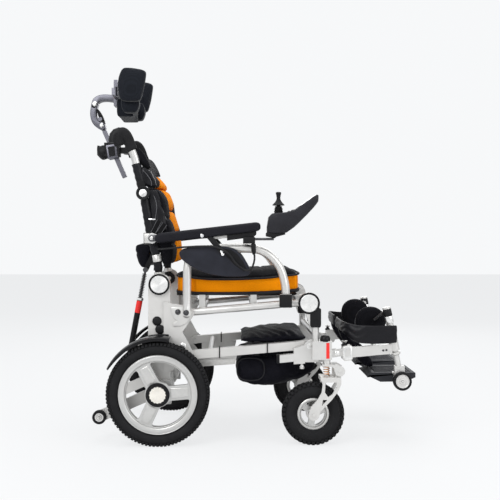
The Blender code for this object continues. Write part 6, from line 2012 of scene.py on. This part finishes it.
def mixed(tree, factor, first, second, end):
    """The first shader, and by the factor the second, on the tree's output."""
    mix = add_node(tree, "MixShader", Fac=factor)
    feed(tree, mix.inputs[1], first)
    feed(tree, mix.inputs[2], second)
    feed(tree, tree.nodes[end].inputs["Surface"], mix.outputs["Shader"])


def studio_floor():
    """A pale floor, which is brighter to the eye than in the light that it throws back."""
    floor = placed(begin("floor", bpy.ops.mesh.primitive_plane_add, size=24, location=(0, 0, 0)))
    ground = bpy.data.materials.new("studio_floor")
    ground.use_nodes = True
    tree = ground.node_tree
    matt = tree.nodes["Principled BSDF"]
    matt.inputs["Base Color"].default_value = (0.8, 0.8, 0.8, 1)
    matt.inputs["Roughness"].default_value = 0.9
    bright = add_node(tree, "Emission", Color=STUDIO_WHITE)
    seen = maths(tree, "MULTIPLY", add_node(tree, "LightPath").outputs["Is Camera Ray"], 0.8)
    mixed(tree, seen, matt.outputs["BSDF"], bright.outputs["Emission"], "Material Output")
    floor.data.materials.append(ground)


def studio_sky():
    """Soft light from all round, and a white backdrop where the camera or a reflection sees it."""
    world = bpy.data.worlds.new("studio")
    bpy.context.scene.world = world
    world.use_nodes = True
    tree = world.node_tree
    sky = tree.nodes["Background"]
    sky.inputs["Color"].default_value = (0.92, 0.94, 0.97, 1)
    sky.inputs["Strength"].default_value = 0.55
    seen = add_node(tree, "Background", Color=STUDIO_WHITE, Strength=1.0)
    paths = add_node(tree, "LightPath").outputs
    either = maths(tree, "MAXIMUM", paths["Is Camera Ray"], paths["Is Glossy Ray"])
    mixed(tree, either, sky.outputs["Background"], seen.outputs["Background"], "World Output")


def in_scene(name, data, place):
    obj = bpy.data.objects.new(name, data)
    bpy.context.scene.collection.objects.link(obj)
    obj.location = place
    return obj


def lamps_and_camera():
    """Four area lamps, and the photograph's camera."""
    for name, place, size, power in LAMPS:
        lamp = bpy.data.lights.new(name, "AREA")
        lamp.energy = power
        lamp.size = size
        look = Vector((0, 0, 0.5)) - Vector(place)
        in_scene(name, lamp, place).rotation_euler = look.to_track_quat("-Z", "Y").to_euler()
    camera = bpy.data.cameras.new("camera")
    camera.lens = CAMERA_LENS
    camera.sensor_width = 36
    camera.shift_x, camera.shift_y = CAMERA_SHIFT
    scene = bpy.context.scene
    scene.camera = in_scene("camera", camera, CAMERA_PLACE)
    scene.camera.rotation_euler = (math.pi / 2, 0, 0)
    scene.view_settings.view_transform = "Standard"


# Making
make_finishes()
studio_floor()
studio_sky()
lamps_and_camera()
joystick_cable()
dress_nodes()
rear_tyres()
rear_rims()
rear_hubs()
caster_wheels()
small_wheels()
seat_band()
seat_top()
seat_bindings()
back_cushions()
shoulder_pad()
back_pouch()
head_pad()
head_details()
for side_name, side in SIDES.items():
    side_panel(f"side_panel_lower_{side_name}", side, LOWER_SIDE, "back")
    side_panel(f"side_panel_upper_{side_name}", side, UPPER_SIDE, "upper_back")
    cane_cover(side_name, side)
    push_grip(side_name, side)
    wing(side_name, side)
    inner_roll(side_name, side)
    arm_pad(side_name, side)
    side_guard(side_name, side)
    mudguard(side_name, side)
    calf_pad(side_name, side)
    calf_band(side_name, side)
    heel_sling(side_name, side)
    foot_plate(side_name, side)
    leg_tube_fittings(side_name, side)
    leg_clamp(side_name, side)
bags()
joystick_housing()
joystick_display()
joystick_keys()
joystick_stick()
joystick_mount()
arm_fittings()
leg_bolts()
pivots_and_bolts()
zip_ties()
front_block_trim()
strut_trim()
cane_trim()
side_plates()
